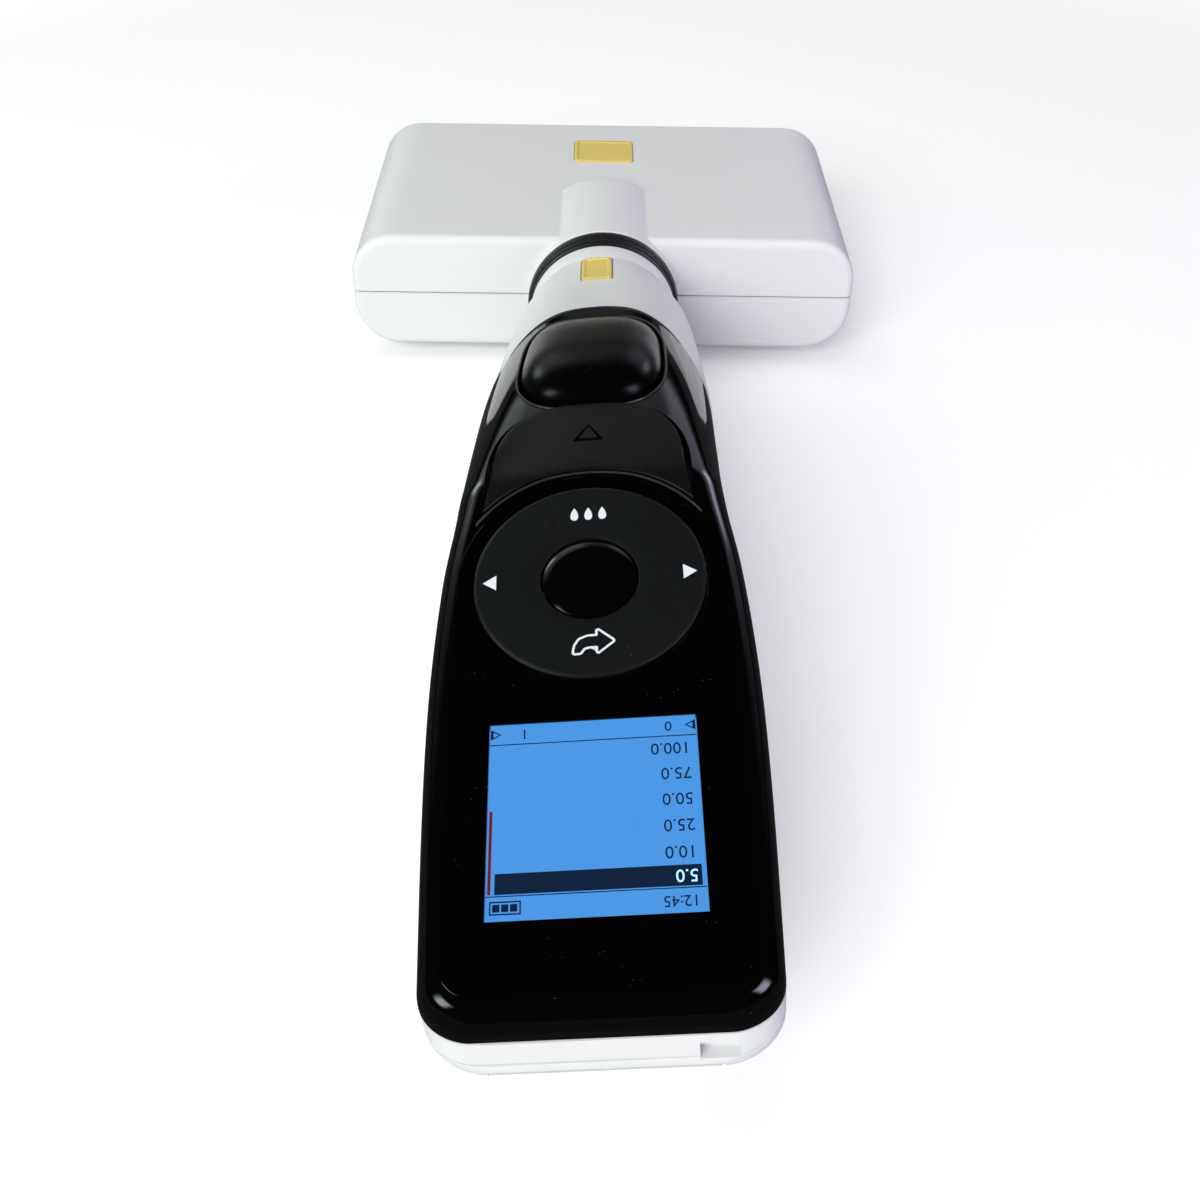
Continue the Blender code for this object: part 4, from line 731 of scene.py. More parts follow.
def onPanelLine(x, l, proud=0.0):
    # Where the line square to the panel at (x, l) meets the handle's surface, as a panel height
    lift = 0.0
    for attempt in range(12):
        y = panel["y"] + l * cos(panel["tilt"]) - lift * sin(panel["tilt"])
        lift = (surfaceHeight(x, y, proud) - panel["z"] - l * sin(panel["tilt"])) / cos(panel["tilt"])
    return lift


# The outlines on the panel
lens = {"halfWidth": 0.0195, "length": panel["lens"], "corner": 0.004, "thickness": 0.0012, "gap": 0.00007,
        "edge": 0.00008}
screen = {"size": 0.0278, "centre": -0.0376, "frame": 0.0294, "deep": 0.0056, "gap": 0.0001}
wheel = {"radius": 0.0170, "gap": 0.00035, "thickness": 0.002, "proud": 0.0003, "dip": 0.0001,
         "dipWidth": 0.0022, "rim": 0.0005, "rimDrop": 0.0002, "ease": 0.00012}
run = {"inner": 0.0208, "tip": radians(40), "halfWidth": 0.0149, "middle": 0.022, "reach": 0.041,
       "power": 0.8, "proud": 0.0005, "thickness": 0.0023, "gap": 0.0003, "rim": 0.0005, "wedge": 0.0009,
       "wedgePoints": 18, "wedgePower": 0.7, "lip": 0.00018, "lipEnd": 0.12, "turnDown": 0.55,
       "dish": 0.00025, "offsets": (0.0, 0.03, 0.10, 0.22, 0.40, 0.65, 1.0)}
ejector = {"half": 0.0131, "start": -0.0512, "end": -0.0971, "power": 3.4, "pivotY": -0.052,
           "pivotZ": 0.013, "lip": 0.00022}


def lensOutline(grow):
    side = -lens["halfWidth"] - grow + lens["corner"]
    foot = -lens["length"] - grow + lens["corner"]
    return (arc((0.0, 0.0), lens["halfWidth"] + grow, 0.0, pi, 64)
            + arc((side, foot), lens["corner"], pi, 3 * pi / 2, 12)
            + arc((-side, foot), lens["corner"], 3 * pi / 2, 2 * pi, 12))


def squareOutline(half, centre=screen["centre"]):
    return [(half, centre + half), (-half, centre + half), (-half, centre - half), (half, centre - half)]


def runCurves(steps):
    # The crescent's near arc and far edge, both from the left tip to the right one
    near = arc((0.0, 0.0), run["inner"], pi - run["tip"], run["tip"], steps)
    far = []
    for share in even(steps):
        angle = pi * (1 - share)
        side = 1 if cos(angle) > 0 else -1
        far.append((run["halfWidth"] * side * abs(cos(angle)) ** run["power"],
                    run["middle"] + (run["reach"] - run["middle"]) * sin(angle) ** run["power"]))
    return near, far


def grown(outline, grow):
    # An anticlockwise outline moved outwards
    moved = []
    for index, point in enumerate(outline):
        here = Vector(point)
        before = (here - Vector(outline[index - 1])).normalized()
        after = (Vector(outline[(index + 1) % len(outline)]) - here).normalized()
        middle = Vector((before.y + after.y, -before.x - after.x)).normalized()
        moved.append(tuple(here + middle * grow / max(middle.dot(Vector((before.y, -before.x))), 0.35)))
    return moved


def runHole():
    # The hole gets wider towards the crescent's two tips, along its far edge
    near, far = runCurves(48)
    most, wider = len(far) - 1, []
    for index, (x, l) in enumerate(far):
        share = max(0.0, 1.0 - min(index, most - index) / run["wedgePoints"]) ** run["wedgePower"]
        wider.append((x * (1.0 + run["wedge"] / run["halfWidth"] * share), l))
    return grown(near + wider[::-1], run["gap"])


def recessOutline(grow=0.0):
    # Opening for the ejector button, rounder towards the viewer
    middle = (ejector["start"] + ejector["end"]) / 2
    reach, power = (ejector["start"] - ejector["end"]) / 2 + grow, ejector["power"]
    outline = []
    for x, y in circle((0.0, 0.0), 1.0):
        share = (abs(x) ** power + abs(y) ** power) ** (-1 / power)
        outline.append((x * share * (ejector["half"] + grow), middle + y * share * reach))
    return outline


# Yellow badges, bare, with a raised border
badge = {"neckHalf": 0.00325, "neckStart": -0.0262, "neckEnd": -0.0150, "proud": 0.0004,
         "thickness": 0.0010, "border": 0.0007, "slope": 0.00025, "sunk": 0.00025, "edge": 0.0002,
         "edgeDrop": 0.00012, "headWidth": 0.0150, "headLength": 0.0132, "headMiddle": 0.0507,
         "corner": 0.0012, "fieldCorner": 0.0008, "steps": 36, "pinch": (0.03, 0.015), "pocketTop": 0.003,
         "pocketFoot": 0.0131, "pocketCorner": 0.0013}


def badgeForm(name, grow, below, above, sunk=0.0):
    # A slice of the casing's own curve, from below to above its surface. Inside its border the
    # top may be sunk
    half, reach = badge["neckHalf"] + grow, (badge["neckEnd"] - badge["neckStart"]) / 2 + grow
    middle = (badge["neckStart"] + badge["neckEnd"]) / 2
    rows = []
    for v in even(badge["steps"]):
        v, row = 2 * v - 1, []
        for u in even(badge["steps"]):
            u = 2 * u - 1
            x = half * u * (1 - badge["pinch"][0] * v ** 6)
            y = middle + reach * v * (1 - badge["pinch"][1] * u ** 6)
            edge = min((1 - abs(u)) * half, (1 - abs(v)) * reach)
            inside = min(1.0, max(0.0, (edge - badge["border"]) / badge["slope"]))
            turn = badge["edgeDrop"] * max(0.0, 1.0 - edge / badge["edge"]) if sunk else 0.0
            height = surfaceHeight(x, y)
            row.append(((x, y, height + above - sunk * inside - turn), (x, y, height - below)))
        rows.append(row)
    return closedGrid(name, rows, handlePlace)


def makeBadges():
    neckPlate = badgeForm("neckBadgePlate", 0.0, badge["thickness"] - badge["proud"], badge["proud"],
                          badge["sunk"])
    place(neckPlate, "handle", "badge_yellow", "neck_badge", sharp=25)
    half, length, middle = badge["headWidth"] / 2, badge["headLength"] / 2, badge["headMiddle"]
    top = head["depth"] / 2 + badge["proud"]
    outline = roundRectangle(half, middle - length, middle + length, badge["corner"])
    plate = sheetOf("headBadgePlate", [outline], top - badge["thickness"], top, headPlace, badge["edge"])
    inner = badge["border"] + badge["edge"]
    field = roundRectangle(half - inner, middle - length + inner, middle + length - inner,
                           badge["fieldCorner"])
    carve(plate, sheetOf("headField", [field], top - badge["sunk"], top + 0.001, headPlace))
    place(plate, "head", "badge_yellow", "head_badge", sharp=25)


# Handle casing: a back shell, a front shell and the glossy black cover over them
socket = {"x": 0.0143, "width": 0.0050, "height": 0.0034, "drop": 0.0083}
door = {"halfWidth": 0.0145, "length": 0.040, "lip": 0.0025, "gap": 0.0003, "depth": -0.013}
cuts = {"panel": -0.012, "panelTop": 0.004, "run": (-0.020, 0.010), "recess": (0.006, 0.050), "notch": 0.005}


def makeCasing():
    end, wall, seam = -grip["length"], grip["wall"], grip["seam"] / 2
    far = end - grip["beyond"]
    hollow, coverHollow = [
        handleForm(name, wall, topWall, grip["hollowStart"], end + wall, grip["hollowStep"])
        for name, topWall in (("hollow", wall), ("coverHollow", grip["topWall"]))]
    low = panelHeight(end) - socket["drop"] - socket["height"] / 2
    left, right = socket["x"] - socket["width"] / 2, socket["x"] + socket["width"] / 2

    def notch():
        return slab("notch", (left, end - cuts["notch"], low),
                    (right, end + wall + clearance, low + socket["height"]), handlePlace)

    def panelCut(name, outline, bottom=cuts["panel"], top=cuts["panelTop"]):
        return sheetOf(name, [outline], bottom, top, panelPlace)

    wide, gap = door["halfWidth"], door["gap"]
    start, top = end + door["length"], door["lip"] - grip["floor"]
    rear = carve(handleForm("rearCasing"), hollow, keepTools=True)
    doorWay = slab("doorWay", (-wide - gap, far, door["depth"]), (wide + gap, start + gap, top + gap),
                   handlePlace)
    carve(rear, casingZone("above", seam), notch(), doorWay)
    place(rear, "handle", "casing_white", "rear_shell")

    lid = carve(handleForm("doorLid"), hollow, keepTools=True)
    doorZone = slab("doorZone", (-wide, far, door["depth"]), (wide, start, top), handlePlace)
    carve(lid, doorZone, how="INTERSECT")
    place(lid, "battery_door", "casing_white", "battery_door")

    front = carve(handleForm("frontCasing"), hollow, coverZone("coverOutside", seam))
    carve(front, casingZone("aboveSplit", -seam), how="INTERSECT")
    below = badge["thickness"] - badge["proud"] + clearance
    carve(front, notch(), badgeForm("neckPocket", clearance, below, badge["pocketTop"]))
    place(front, "handle", "casing_white", "front_shell")

    black = carve(handleForm("frontCover"), coverHollow)
    carve(black, coverZone("coverInside", -seam), how="INTERSECT")
    carve(black, panelCut("lensPocket", lensOutline(lens["gap"]), -lens["thickness"] - clearance),
          panelCut("wheelHole", circle((0.0, 0.0), wheel["radius"] + wheel["gap"])),
          panelCut("window", squareOutline(screen["frame"] / 2 + clearance)),
          panelCut("runHole", runHole(), *cuts["run"]),
          sheetOf("recess", [recessOutline()], *cuts["recess"], handlePlace))
    place(black, "handle", "fascia_black", "fascia")


def placeLip(piece):
    # Cover plastic in shape, coloured a lighter grey as a painted highlight along the lip
    place(piece, "handle", "fascia_black", ink="lip_painted_highlight")


def makeCoverLips():
    # Fine raised lines round the ejector button's opening and along the cover's edge, in a lighter grey that
    # is a painted highlight
    lip = [(x, y, surfaceHeight(x, y) + ejector["lip"] * 0.3) for x, y in recessOutline(ejector["lip"])]
    placeLip(bead("recessLip", lip, ejector["lip"], handlePlace, closed=True))
    rim = []
    for side, part in ((-1, coverTip()[:0:-1]), (1, coverTip())):
        for y, x in part:
            sunk = cover["rimSunk"] + cover["rimDrop"] * (x / cover["rimWidth"]) ** 6
            rim.append((side * x, y, surfaceHeight(x, y) - sunk))
    placeLip(bead("coverRim", rim, cover["rim"], handlePlace))


def makePanelLip():
    # A fine raised line on the cover, along the crescent's near side, in a lighter grey that is a painted
    # highlight
    turn, radius = run["tip"] - run["lipEnd"], run["inner"] - run["gap"] - run["lip"]
    path = [(x, l, onPanelLine(x, l) + run["lip"] * 0.2)
            for x, l in arc((0.0, 0.0), radius, turn, pi - turn, 72)]
    placeLip(bead("panelLip", path, run["lip"], panelPlace))


# Cover lens, wheel and buttons
ok = {"radius": 0.00685, "gap": 0.00035, "dome": 0.0012, "depth": 0.0032, "power": 3.2}
startSign = {"middle": 0.0315, "half": 0.0026, "deep": 0.0003, "corner": 0.0006, "hollow": 0.62,
             "hollowShift": 0.00012, "slack": 0.0006}
ejectorKey = {"half": (0.01275, 0.0217, 0.0070), "power": (3.2, 3.4, 2.5), "y": -0.0738, "top": 0.0308,
              "slope": radians(-15.5), "cuts": 24, "bossHalf": 0.0100, "bossRadius": 0.003,
              "boreRadius": 0.00155, "neckLength": 0.009, "neckHeight": 0.007, "prongStart": 0.0075,
              "prongDepth": 0.0024, "prongFoot": -0.008, "prongTop": 0.0015}


def makeLens():
    outlines = [lensOutline(0.0), circle((0.0, 0.0), wheel["radius"] + wheel["gap"]),
                squareOutline(screen["size"] / 2 + screen["gap"])]
    sheet = sheetOf("lensCover", outlines, -lens["thickness"], 0.0, panelPlace, lens["edge"])
    place(sheet, "handle", "lens_black", "lens_panel", sharp=20)


def makeWheel():
    top, base = wheel["proud"], wheel["proud"] - wheel["thickness"]
    inner, radius = ok["radius"] + ok["gap"], wheel["radius"]
    profile = [(inner, base), (inner, top - wheel["dip"]), (inner + wheel["dipWidth"], top),
               (radius - wheel["rim"], top), (radius, top - wheel["rimDrop"]), (radius, base)]
    disc = turned("wheelDisc", softCorners(profile, wheel["ease"], 3), panelPlace, 128, "Z")
    place(disc, "touch_wheel", "wheel_black", "touch_wheel", sharp=40)


def makeOkButton():
    # A low glossy dome whose rim turns over quickly
    across = [sin((1.0 - share) * pi / 2) for share in even(22)]
    profile = [(0.0, -ok["depth"]), (ok["radius"], -ok["depth"])]
    profile += [(ok["radius"] * x, ok["dome"] * (1 - x ** ok["power"])) for x in across]
    place(turned("okKey", profile, panelPlace, 96, "Z"), "ok_button", "fascia_black", "ok_button", sharp=60)


def makeRunButton():
    # Rows run across the crescent, closer together near its two edges, where the surface turns down
    rim, rows = run["rim"], []
    for left, right in zip(*runCurves(72)):
        left, right = Vector(left), Vector(right)
        width = (right - left).length
        shares = [offset * rim / width for offset in run["offsets"]]
        middle = [shares[-1] + (1 - 2 * shares[-1]) * step / 10 for step in range(1, 10)]
        rows.append([])
        for share in shares + middle + [1 - s for s in shares[::-1]]:
            x, l = left.lerp(right, share)
            inside = min(1.0, min(share, 1 - share) * width / rim)
            drop = rim * run["turnDown"] * (1 - sqrt(max(0.0, 1 - (1 - inside) ** 2)))
            drop += run["dish"] * sin(pi * share)
            lift = onPanelLine(x, l, run["proud"])
            rows[-1].append(((x, l, lift - drop), (x, l, lift - run["thickness"])))
    key = closedGrid("runKey", rows, panelPlace)
    # An engraved start sign, pointing away from the panel's middle
    middle, half = startSign["middle"], startSign["half"]
    lift = onPanelLine(0.0, middle, run["proud"]) - run["dish"]
    ring = softCorners([(-half, middle - half), (half, middle - half), (0.0, middle + half)],
                       startSign["corner"])
    inner = [(x * startSign["hollow"], middle + (l - middle) * startSign["hollow"] - startSign["hollowShift"])
             for x, l in ring]
    carve(key, sheetOf("startSign", [ring, inner], lift - startSign["deep"] - startSign["slack"],
                       lift + 0.002, panelPlace))
    place(key, "run_button", "button_black", "run_button", sharp=38)


def pillow(half, power):
    # A cushion-like block: a sphere pushed out towards its box
    shape = bmesh.new()
    bmesh.ops.create_cube(shape, size=2.0)
    bmesh.ops.subdivide_edges(shape, edges=shape.edges, cuts=ejectorKey["cuts"], use_grid_fill=True)
    for vert in shape.verts:
        direction = Vector([tan(value * pi / 4) for value in vert.co])
        low, high = 0.0, 2.0
        for attempt in range(30):
            middle = (low + high) / 2
            size = sum((abs(direction[axis]) * middle) ** power[axis] for axis in range(3))
            low, high = (middle, high) if size < 1.0 else (low, middle)
        vert.co = Vector([direction[axis] * low * half[axis] for axis in range(3)])
    return shape


def makeEjectorButton():
    # A cushion on a lever: a boss round the hinge pin, a neck and two prongs
    key, half = ejectorKey, ejectorKey["bossHalf"]
    middle = Matrix.Translation((0.0, key["y"], key["top"] - key["half"][2]))
    cap = fromShape("ejectorKey", pillow(key["half"], key["power"]),
                    handlePlace @ middle @ Matrix.Rotation(key["slope"], 4, "X"))
    pivot = Vector((0.0, ejector["pivotY"], ejector["pivotZ"]))
    hinge = handlePlace @ Matrix.Translation(pivot) @ Matrix.Rotation(pi / 2, 4, "Z")
    front = pivot.y - clearance
    prongs = [slab("prong", (inner, front - key["prongDepth"], key["prongFoot"]),
                   (outer, front, pivot.z + key["prongTop"]), handlePlace)
              for inner, outer in ((-half, -key["prongStart"]), (key["prongStart"], half))]
    carve(cap, rod("leverBoss", key["bossRadius"], -half, half, hinge, 48),
          slab("leverNeck", (-half, pivot.y - key["neckLength"], pivot.z),
               (half, pivot.y, pivot.z + key["neckHeight"]), handlePlace), *prongs, how="UNION")
    carve(cap, rod("leverBore", key["boreRadius"], -0.02, 0.02, hinge, 24))
    place(cap, "ejector_button", "button_black", "ejector_button", sharp=50, ink="ejector_black")


# Display: a lit blue screen in its dark frame, with generic figures on it. Lengths are from the
# screen's edges
marks = {"low": -0.00006, "high": -0.00002, "under": 0.00004, "bar": 0.00003, "over": 0.00006,
         "text": 0.0021, "larger": 1.15, "dots": 0.00023, "rule": 0.00013, "foot": 0.0030, "rows": 0.0062,
         "chosen": 0.0034, "head": 0.0031, "right": 0.0009, "arrow": 0.0016, "arrowAt": 0.0008,
         "figuresAt": (0.0032, 0.0052), "chosenAt": (0.0011, 0.0005),
         "values": ("10.0", "25.0", "50.0", "75.0", "100.0")}
cell = {"left": 0.0005, "width": 0.0040, "height": 0.0018, "middle": 0.0016, "line": 0.00018,
        "start": 0.0004, "pitch": 0.00112, "bar": 0.0009, "count": 3}

screenInks = {"screen_dark": ((0.006, 0.016, 0.045), 0.0), "screen_red": ((0.16, 0.012, 0.02), 0.0),
              "screen_pale": ((0.30, 0.62, 0.95), 0.9)}


def screenFinish():
    # Backlit liquid crystal: fine rows and columns of dots, a little uneven in tone
    material, tree, shader = newMaterial("display")
    where, turnBack = objectPoint(tree), panelPlace.inverted()
    flat = addNode(tree, "ShaderNodeMapping", {"Vector": where, "Location": turnBack.to_translation(),
                                               "Rotation": turnBack.to_euler()})
    parts = addNode(tree, "ShaderNodeSeparateXYZ", {"Vector": flat.outputs["Vector"]}).outputs
    waves = [mathNode(tree, "SINE", mathNode(tree, "MULTIPLY", parts[axis], 2 * pi / marks["dots"]))
             for axis in ("X", "Y")]
    grid = ranged(tree, mathNode(tree, "MAXIMUM", *waves), 0.55, 1.0)
    blue = blendColours(tree, noise(tree, where, 60.0, 1.0), (0.075, 0.335, 0.86), (0.105, 0.41, 0.95))
    feed(tree, shader, {"Emission Color": blendColours(tree, grid, blue, (0.055, 0.27, 0.74)),
                        "Emission Strength": 0.92, "Base Color": (0.004, 0.008, 0.014, 1.0),
                        "Roughness": 0.05})
    return material


def figures(name, text, size, where):
    # Numbers, read from the display's end; a small mesh lying on the screen
    curve = bpy.data.curves.new(name, "FONT")
    curve.body, curve.size, curve.align_x, curve.align_y = text, size, "LEFT", "CENTER"
    curve.extrude = (marks["high"] - marks["low"]) / 2
    curve.resolution_u = 3
    lift = Matrix.Translation((*where, (marks["low"] + marks["high"]) / 2))
    return newPiece(name, meshFrom(name + "Text", curve), panelPlace @ lift @ Matrix.Rotation(pi, 4, "Z"))


def joined(name, pieces):
    # Several meshes as one object
    shape = bmesh.new()
    for piece in pieces:
        shape.from_mesh(piece.data)
        bpy.data.objects.remove(piece, do_unlink=True)
    mesh = bpy.data.meshes.new(name)
    shape.to_mesh(mesh)
    shape.free()
    return newPiece(name, mesh)


def printed(name, outlines, low=marks["low"], high=marks["high"]):
    return sheetOf(name, outlines, low, high, panelPlace)


def signOutline(corners, where, scale, turn=0.0):
    spin = Matrix.Rotation(turn, 2)
    return [tuple(Vector(where) + (spin @ Vector(corner)) * scale) for corner in corners]


def makeScreen():
    finishes["display"] = screenFinish()
    for name, (colour, glow) in screenInks.items():
        finishes[name] = printFinish(name, colour, 0.1, glow)
    half, middle = screen["size"] / 2, screen["centre"]
    unit = printed("screenUnit", [squareOutline(screen["frame"] / 2)], -screen["deep"],
                   -lens["thickness"] - clearance)
    glass = printed("screenGlass", [squareOutline(half)], -screen["deep"] / 2, marks["low"] - marks["under"])
    place(carve(unit, glass, how="UNION"), "handle", "display", "display_module", sharp=20)
    far, near, rule = middle + half, middle - half, marks["rule"]
    foot, larger = far - marks["foot"], marks["text"] * marks["larger"]
    dark = [printed(name, [rectangle(left, right, low, high)]) for name, left, right, low, high in (
        ("footRule", -half, half, foot - rule, foot),
        ("headRule", -half, half, near + marks["head"], near + marks["head"] + rule),
        ("chosenRow", -half + marks["chosenAt"][0], half - marks["chosenAt"][1], near + marks["chosen"],
         near + marks["rows"]))]
    pitch = (screen["size"] - marks["foot"] - marks["rows"]) / len(marks["values"])
    texts = [("rowValue", text, larger, (half - marks["right"], foot - pitch * (index + 0.5)))
             for index, text in enumerate(reversed(marks["values"]))]
    texts += [("clock", "12:45", marks["text"], (half - marks["right"], near + marks["foot"] / 2)),
              ("leftFigure", "0", marks["text"], (half - marks["figuresAt"][0], far - marks["foot"] / 2)),
              ("rightFigure", "1", marks["text"], (-half + marks["figuresAt"][1], far - marks["foot"] / 2))]
    dark += [figures(*values) for values in texts]
    # Outlined arrows at both ends of the far row, and a battery sign with three cells
    arrow = [(0.45, 0.5), (-0.45, 0.0), (0.45, -0.5)]
    inner = [((x - 0.09) * 0.55 + 0.02, y * 0.5) for x, y in arrow]
    for side, turn in ((-1, pi), (1, 0.0)):
        where = (side * (half - marks["arrowAt"]), far - marks["foot"] / 2)
        lines = [signOutline(line, where, marks["arrow"], turn) for line in (arrow, inner)]
        dark.append(printed("pageArrow", lines))
    left, edge = -half + cell["left"], cell["line"]
    right = left + cell["width"]
    low, high = [near + cell["middle"] + side * cell["height"] / 2 for side in (-1, 1)]
    dark.append(printed("batterySign", [rectangle(left, right, low, high),
                                        rectangle(left + edge, right - edge, low + edge, high - edge)]))
    for index in range(cell["count"]):
        start = left + cell["start"] + index * cell["pitch"]
        dark.append(printed("batteryCell", [rectangle(start, start + cell["bar"], low + cell["start"],
                                                      high - cell["start"])]))
    place(joined("screenSigns", dark), "handle", "display", ink="screen_dark")
    bar = rectangle(-half + 0.0002, -half + 0.0006, near + marks["chosen"], middle + 0.0010)
    place(printed("scrollBar", [bar], marks["high"], marks["high"] + marks["bar"]), "handle", "display",
          ink="screen_red")
    chosen = figures("chosenFigures", "5.0", larger,
                     (half - marks["right"], near + (marks["chosen"] + marks["rows"]) / 2))
    chosen.data.transform(Matrix.Translation(panelPlace.to_3x3() @ Vector((0.0, 0.0, marks["over"]))))
    place(chosen, "handle", "display", ink="screen_pale")


# White print on the wheel: arrows to both sides, three drops above, and a turn-back arrow below,
# which is an outline: a band that curves round into a broad head
wheelPrint = {"low": wheel["proud"] - 0.00001, "high": wheel["proud"] + 0.00002,
              "arrow": [(-0.0012, 0.0), (0.0008, 0.0013), (0.0008, -0.0013)], "arrowX": 0.01445,
              "dropHalf": 0.00062, "dropReach": 0.00095, "dropPitch": 0.0021, "dropL": 0.0118,
              "dropScale": 1.25,
              "turnBack": [(0.0030, 0.0), (0.0008, 0.0019), (0.0008, 0.0009), (-0.0006, 0.0009),
                           (-0.0018, 0.0004), (-0.0024, -0.0006), (-0.0026, -0.0018), (-0.0017, -0.0018),
                           (-0.0012, -0.0010), (-0.0004, -0.0008), (0.0008, -0.0008), (0.0008, -0.0018)],
              "turnBackAt": (0.0002, -0.0112), "line": 0.00034, "corner": 0.0002}


def makeWheelMarks():
    values = wheelPrint
    lines = [("sideArrow", [signOutline(values["arrow"], (side * values["arrowX"], 0.0), 1.0, turn)])
             for side, turn in ((-1, 0.0), (1, pi))]
    drop = [(values["dropHalf"] * sin(2 * pi * step / 24) * sin(pi * step / 24),
             values["dropReach"] * cos(2 * pi * step / 24)) for step in range(24)]
    lines += [("drop", [signOutline(drop, (x, values["dropL"]), values["dropScale"])])
              for x in (-values["dropPitch"], 0.0, values["dropPitch"])]
    outer = softCorners(values["turnBack"], values["corner"], 3)
    across, lengthways = values["turnBackAt"]
    lines.append(("turnBack", [[(x + across, l + lengthways) for x, l in line]
                               for line in (outer, grown(outer[::-1], -values["line"]))]))
    pieces = [printed(name, outlines, values["low"], values["high"]) for name, outlines in lines]
    place(joined("wheelMarks", pieces), "touch_wheel", "wheel_black", ink="ink_white")


# Channel head: two shells that meet on the neck axis
head = {"width": 0.118, "length": 0.070, "depth": 0.028, "wall": 0.002, "sideRound": 0.0105,
        "edgeRound": 0.0018, "bossRadius": 0.0172, "bossReach": 0.028, "bossEdge": 0.0015, "stub": 0.0022,
        "ridgeStart": 0.0019, "ridgeFoot": 0.004, "fillet": 0.0016, "padWidth": 0.060, "padStart": 0.014,
        "padLength": 0.044, "padFoot": -0.0175, "padTop": -0.013, "padCorner": 0.003, "padEdge": 0.0012,
        "noseHalf": 0.0522, "noseHeight": 0.012, "boreRadius": 0.0113, "rodX": 0.0546, "rodRadius": 0.0012,
        "rodEnd": 0.006, "flat": 0.0005, "seamLine": 0.00022, "seamHalf": 0.0003, "around": 0.080,
        "behind": -0.020, "beyond": 0.100, "above": 0.040}


def headSection(inset, y):
    outline = roundRectangle(head["width"] / 2 - inset, -head["depth"] / 2 + inset, head["depth"] / 2 - inset,
                             head["sideRound"] - inset, 14)
    points = []
    for here, there in zip(outline, outline[1:] + outline[:1]):
        points.append(here)
        if (Vector(there) - Vector(here)).length > 0.003:
            points += nearEnds(here, there, head["flat"])
    return [(x, y, z) for x, z in points]


def headBlock(name, inset, edge):
    # The block with its near and far edges rounded
    start, end = inset, head["length"] - inset
    near = [(inset + edge * (1 - sin(pi / 2 * share)), start + edge * (1 - cos(pi / 2 * share)))
            for share in even(8)] + [(inset, start + edge + head["flat"])]
    far = [(closer, start + end - y) for closer, y in near[::-1]]
    return loft(name, [headSection(closer, y) for closer, y in near + far], headPlace)


def bossEnd():
    # The boss's rounded far end: how much closer to the axis, and how far along it
    return [(head["bossEdge"] * (1 - cos(pi / 2 * share)),
             head["bossReach"] - head["bossEdge"] * (1 - sin(pi / 2 * share))) for share in even(6)]


def bossRidge(name):
    # The neck's round boss where it runs into the flat face, with a hollow fillet at each side
    sections, fillet = [], head["fillet"]
    height = head["depth"] / 2 + fillet
    for closer, y in [(0.0, head["ridgeStart"])] + bossEnd():
        radius = head["bossRadius"] - closer
        side = sqrt((radius + fillet) ** 2 - height ** 2)
        reach = Vector((0.0, 1.0)).angle(Vector((side, height)))
        hollow = arc((side, height), fillet, -pi / 2, -pi / 2 - reach, 8)
        outline = hollow + arc((0.0, 0.0), radius, pi / 2 - reach, pi / 2 + reach, 40)
        outline += [(-x, z) for x, z in hollow[::-1]]
        outline += [(-side, head["ridgeFoot"]), (side, head["ridgeFoot"])]
        sections.append([(x, y, z) for x, z in outline])
    return loft(name, sections, headPlace)


def headHalf(name, side, node):
    half, wall, length = headBlock(name, 0.0, head["edgeRound"]), head["wall"], head["length"]
    reach, radius, stub = head["bossReach"], head["bossRadius"], head["stub"]
    profile = [(0.0, -stub), (radius - 0.0002, -stub), (radius, -stub + 0.0002)]
    profile += [(radius - closer, y) for closer, y in bossEnd()] + [(0.0, reach)]
    carve(half, turned(name + "Boss", profile, headPlace, 160), how="UNION")
    if side > 0:
        carve(half, bossRidge(name + "Ridge"), how="UNION")
    else:
        pad = roundRectangle(head["padWidth"] / 2, head["padStart"], head["padStart"] + head["padLength"],
                             head["padCorner"])
        carve(half, sheetOf(name + "Pad", [pad], head["padFoot"], head["padTop"], headPlace, head["padEdge"]),
              how="UNION")
    wide, tall = head["noseHalf"] + clearance, head["noseHeight"] / 2 + clearance
    carve(half, headBlock(name + "Hollow", wall, head["flat"]),
          rod(name + "BossHollow", radius - wall, wall, reach - wall, headPlace),
          slab(name + "Slot", (-wide, length - 2 * wall, -tall), (wide, length + wall, tall), headPlace),
          rod(name + "Bore", head["boreRadius"], -0.010, wall + 0.001, headPlace),
          *[rod(name + "RodHole", head["rodRadius"] + clearance, -0.003, 0.010,
                headPlace @ Matrix.Translation((end * head["rodX"], length - head["rodEnd"], 0.0)), 24)
            for end in (-1, 1)])
    # A shallow shadow line along the seam
    groove = carve(headBlock(name + "GrooveOut", -0.002, 0.002),
                   headBlock(name + "GrooveIn", head["seamLine"], head["edgeRound"]))
    around, line = head["around"], head["seamHalf"]
    band = slab(name + "GrooveBand", (-around, -0.003, -line), (around, around, line), headPlace)
    carve(half, carve(groove, band, how="INTERSECT"))
    if side > 0:
        # The badge's pocket, half a clearance wider at each side
        reach, middle = badge["headLength"] / 2 + clearance / 2, badge["headMiddle"]
        pocket = roundRectangle(badge["headWidth"] / 2 + clearance / 2, middle - reach, middle + reach,
                                badge["pocketCorner"])
        carve(half, sheetOf("badgePocket", [pocket], badge["pocketFoot"], 0.020, headPlace))
    low, high = sorted((side * clearance / 2, side * head["above"]))
    kept = slab(name + "Side", (-around, head["behind"], low), (around, head["beyond"], high), headPlace)
    carve(half, kept, how="INTERSECT")
    evenShade(place(half, "head", "casing_white", node))


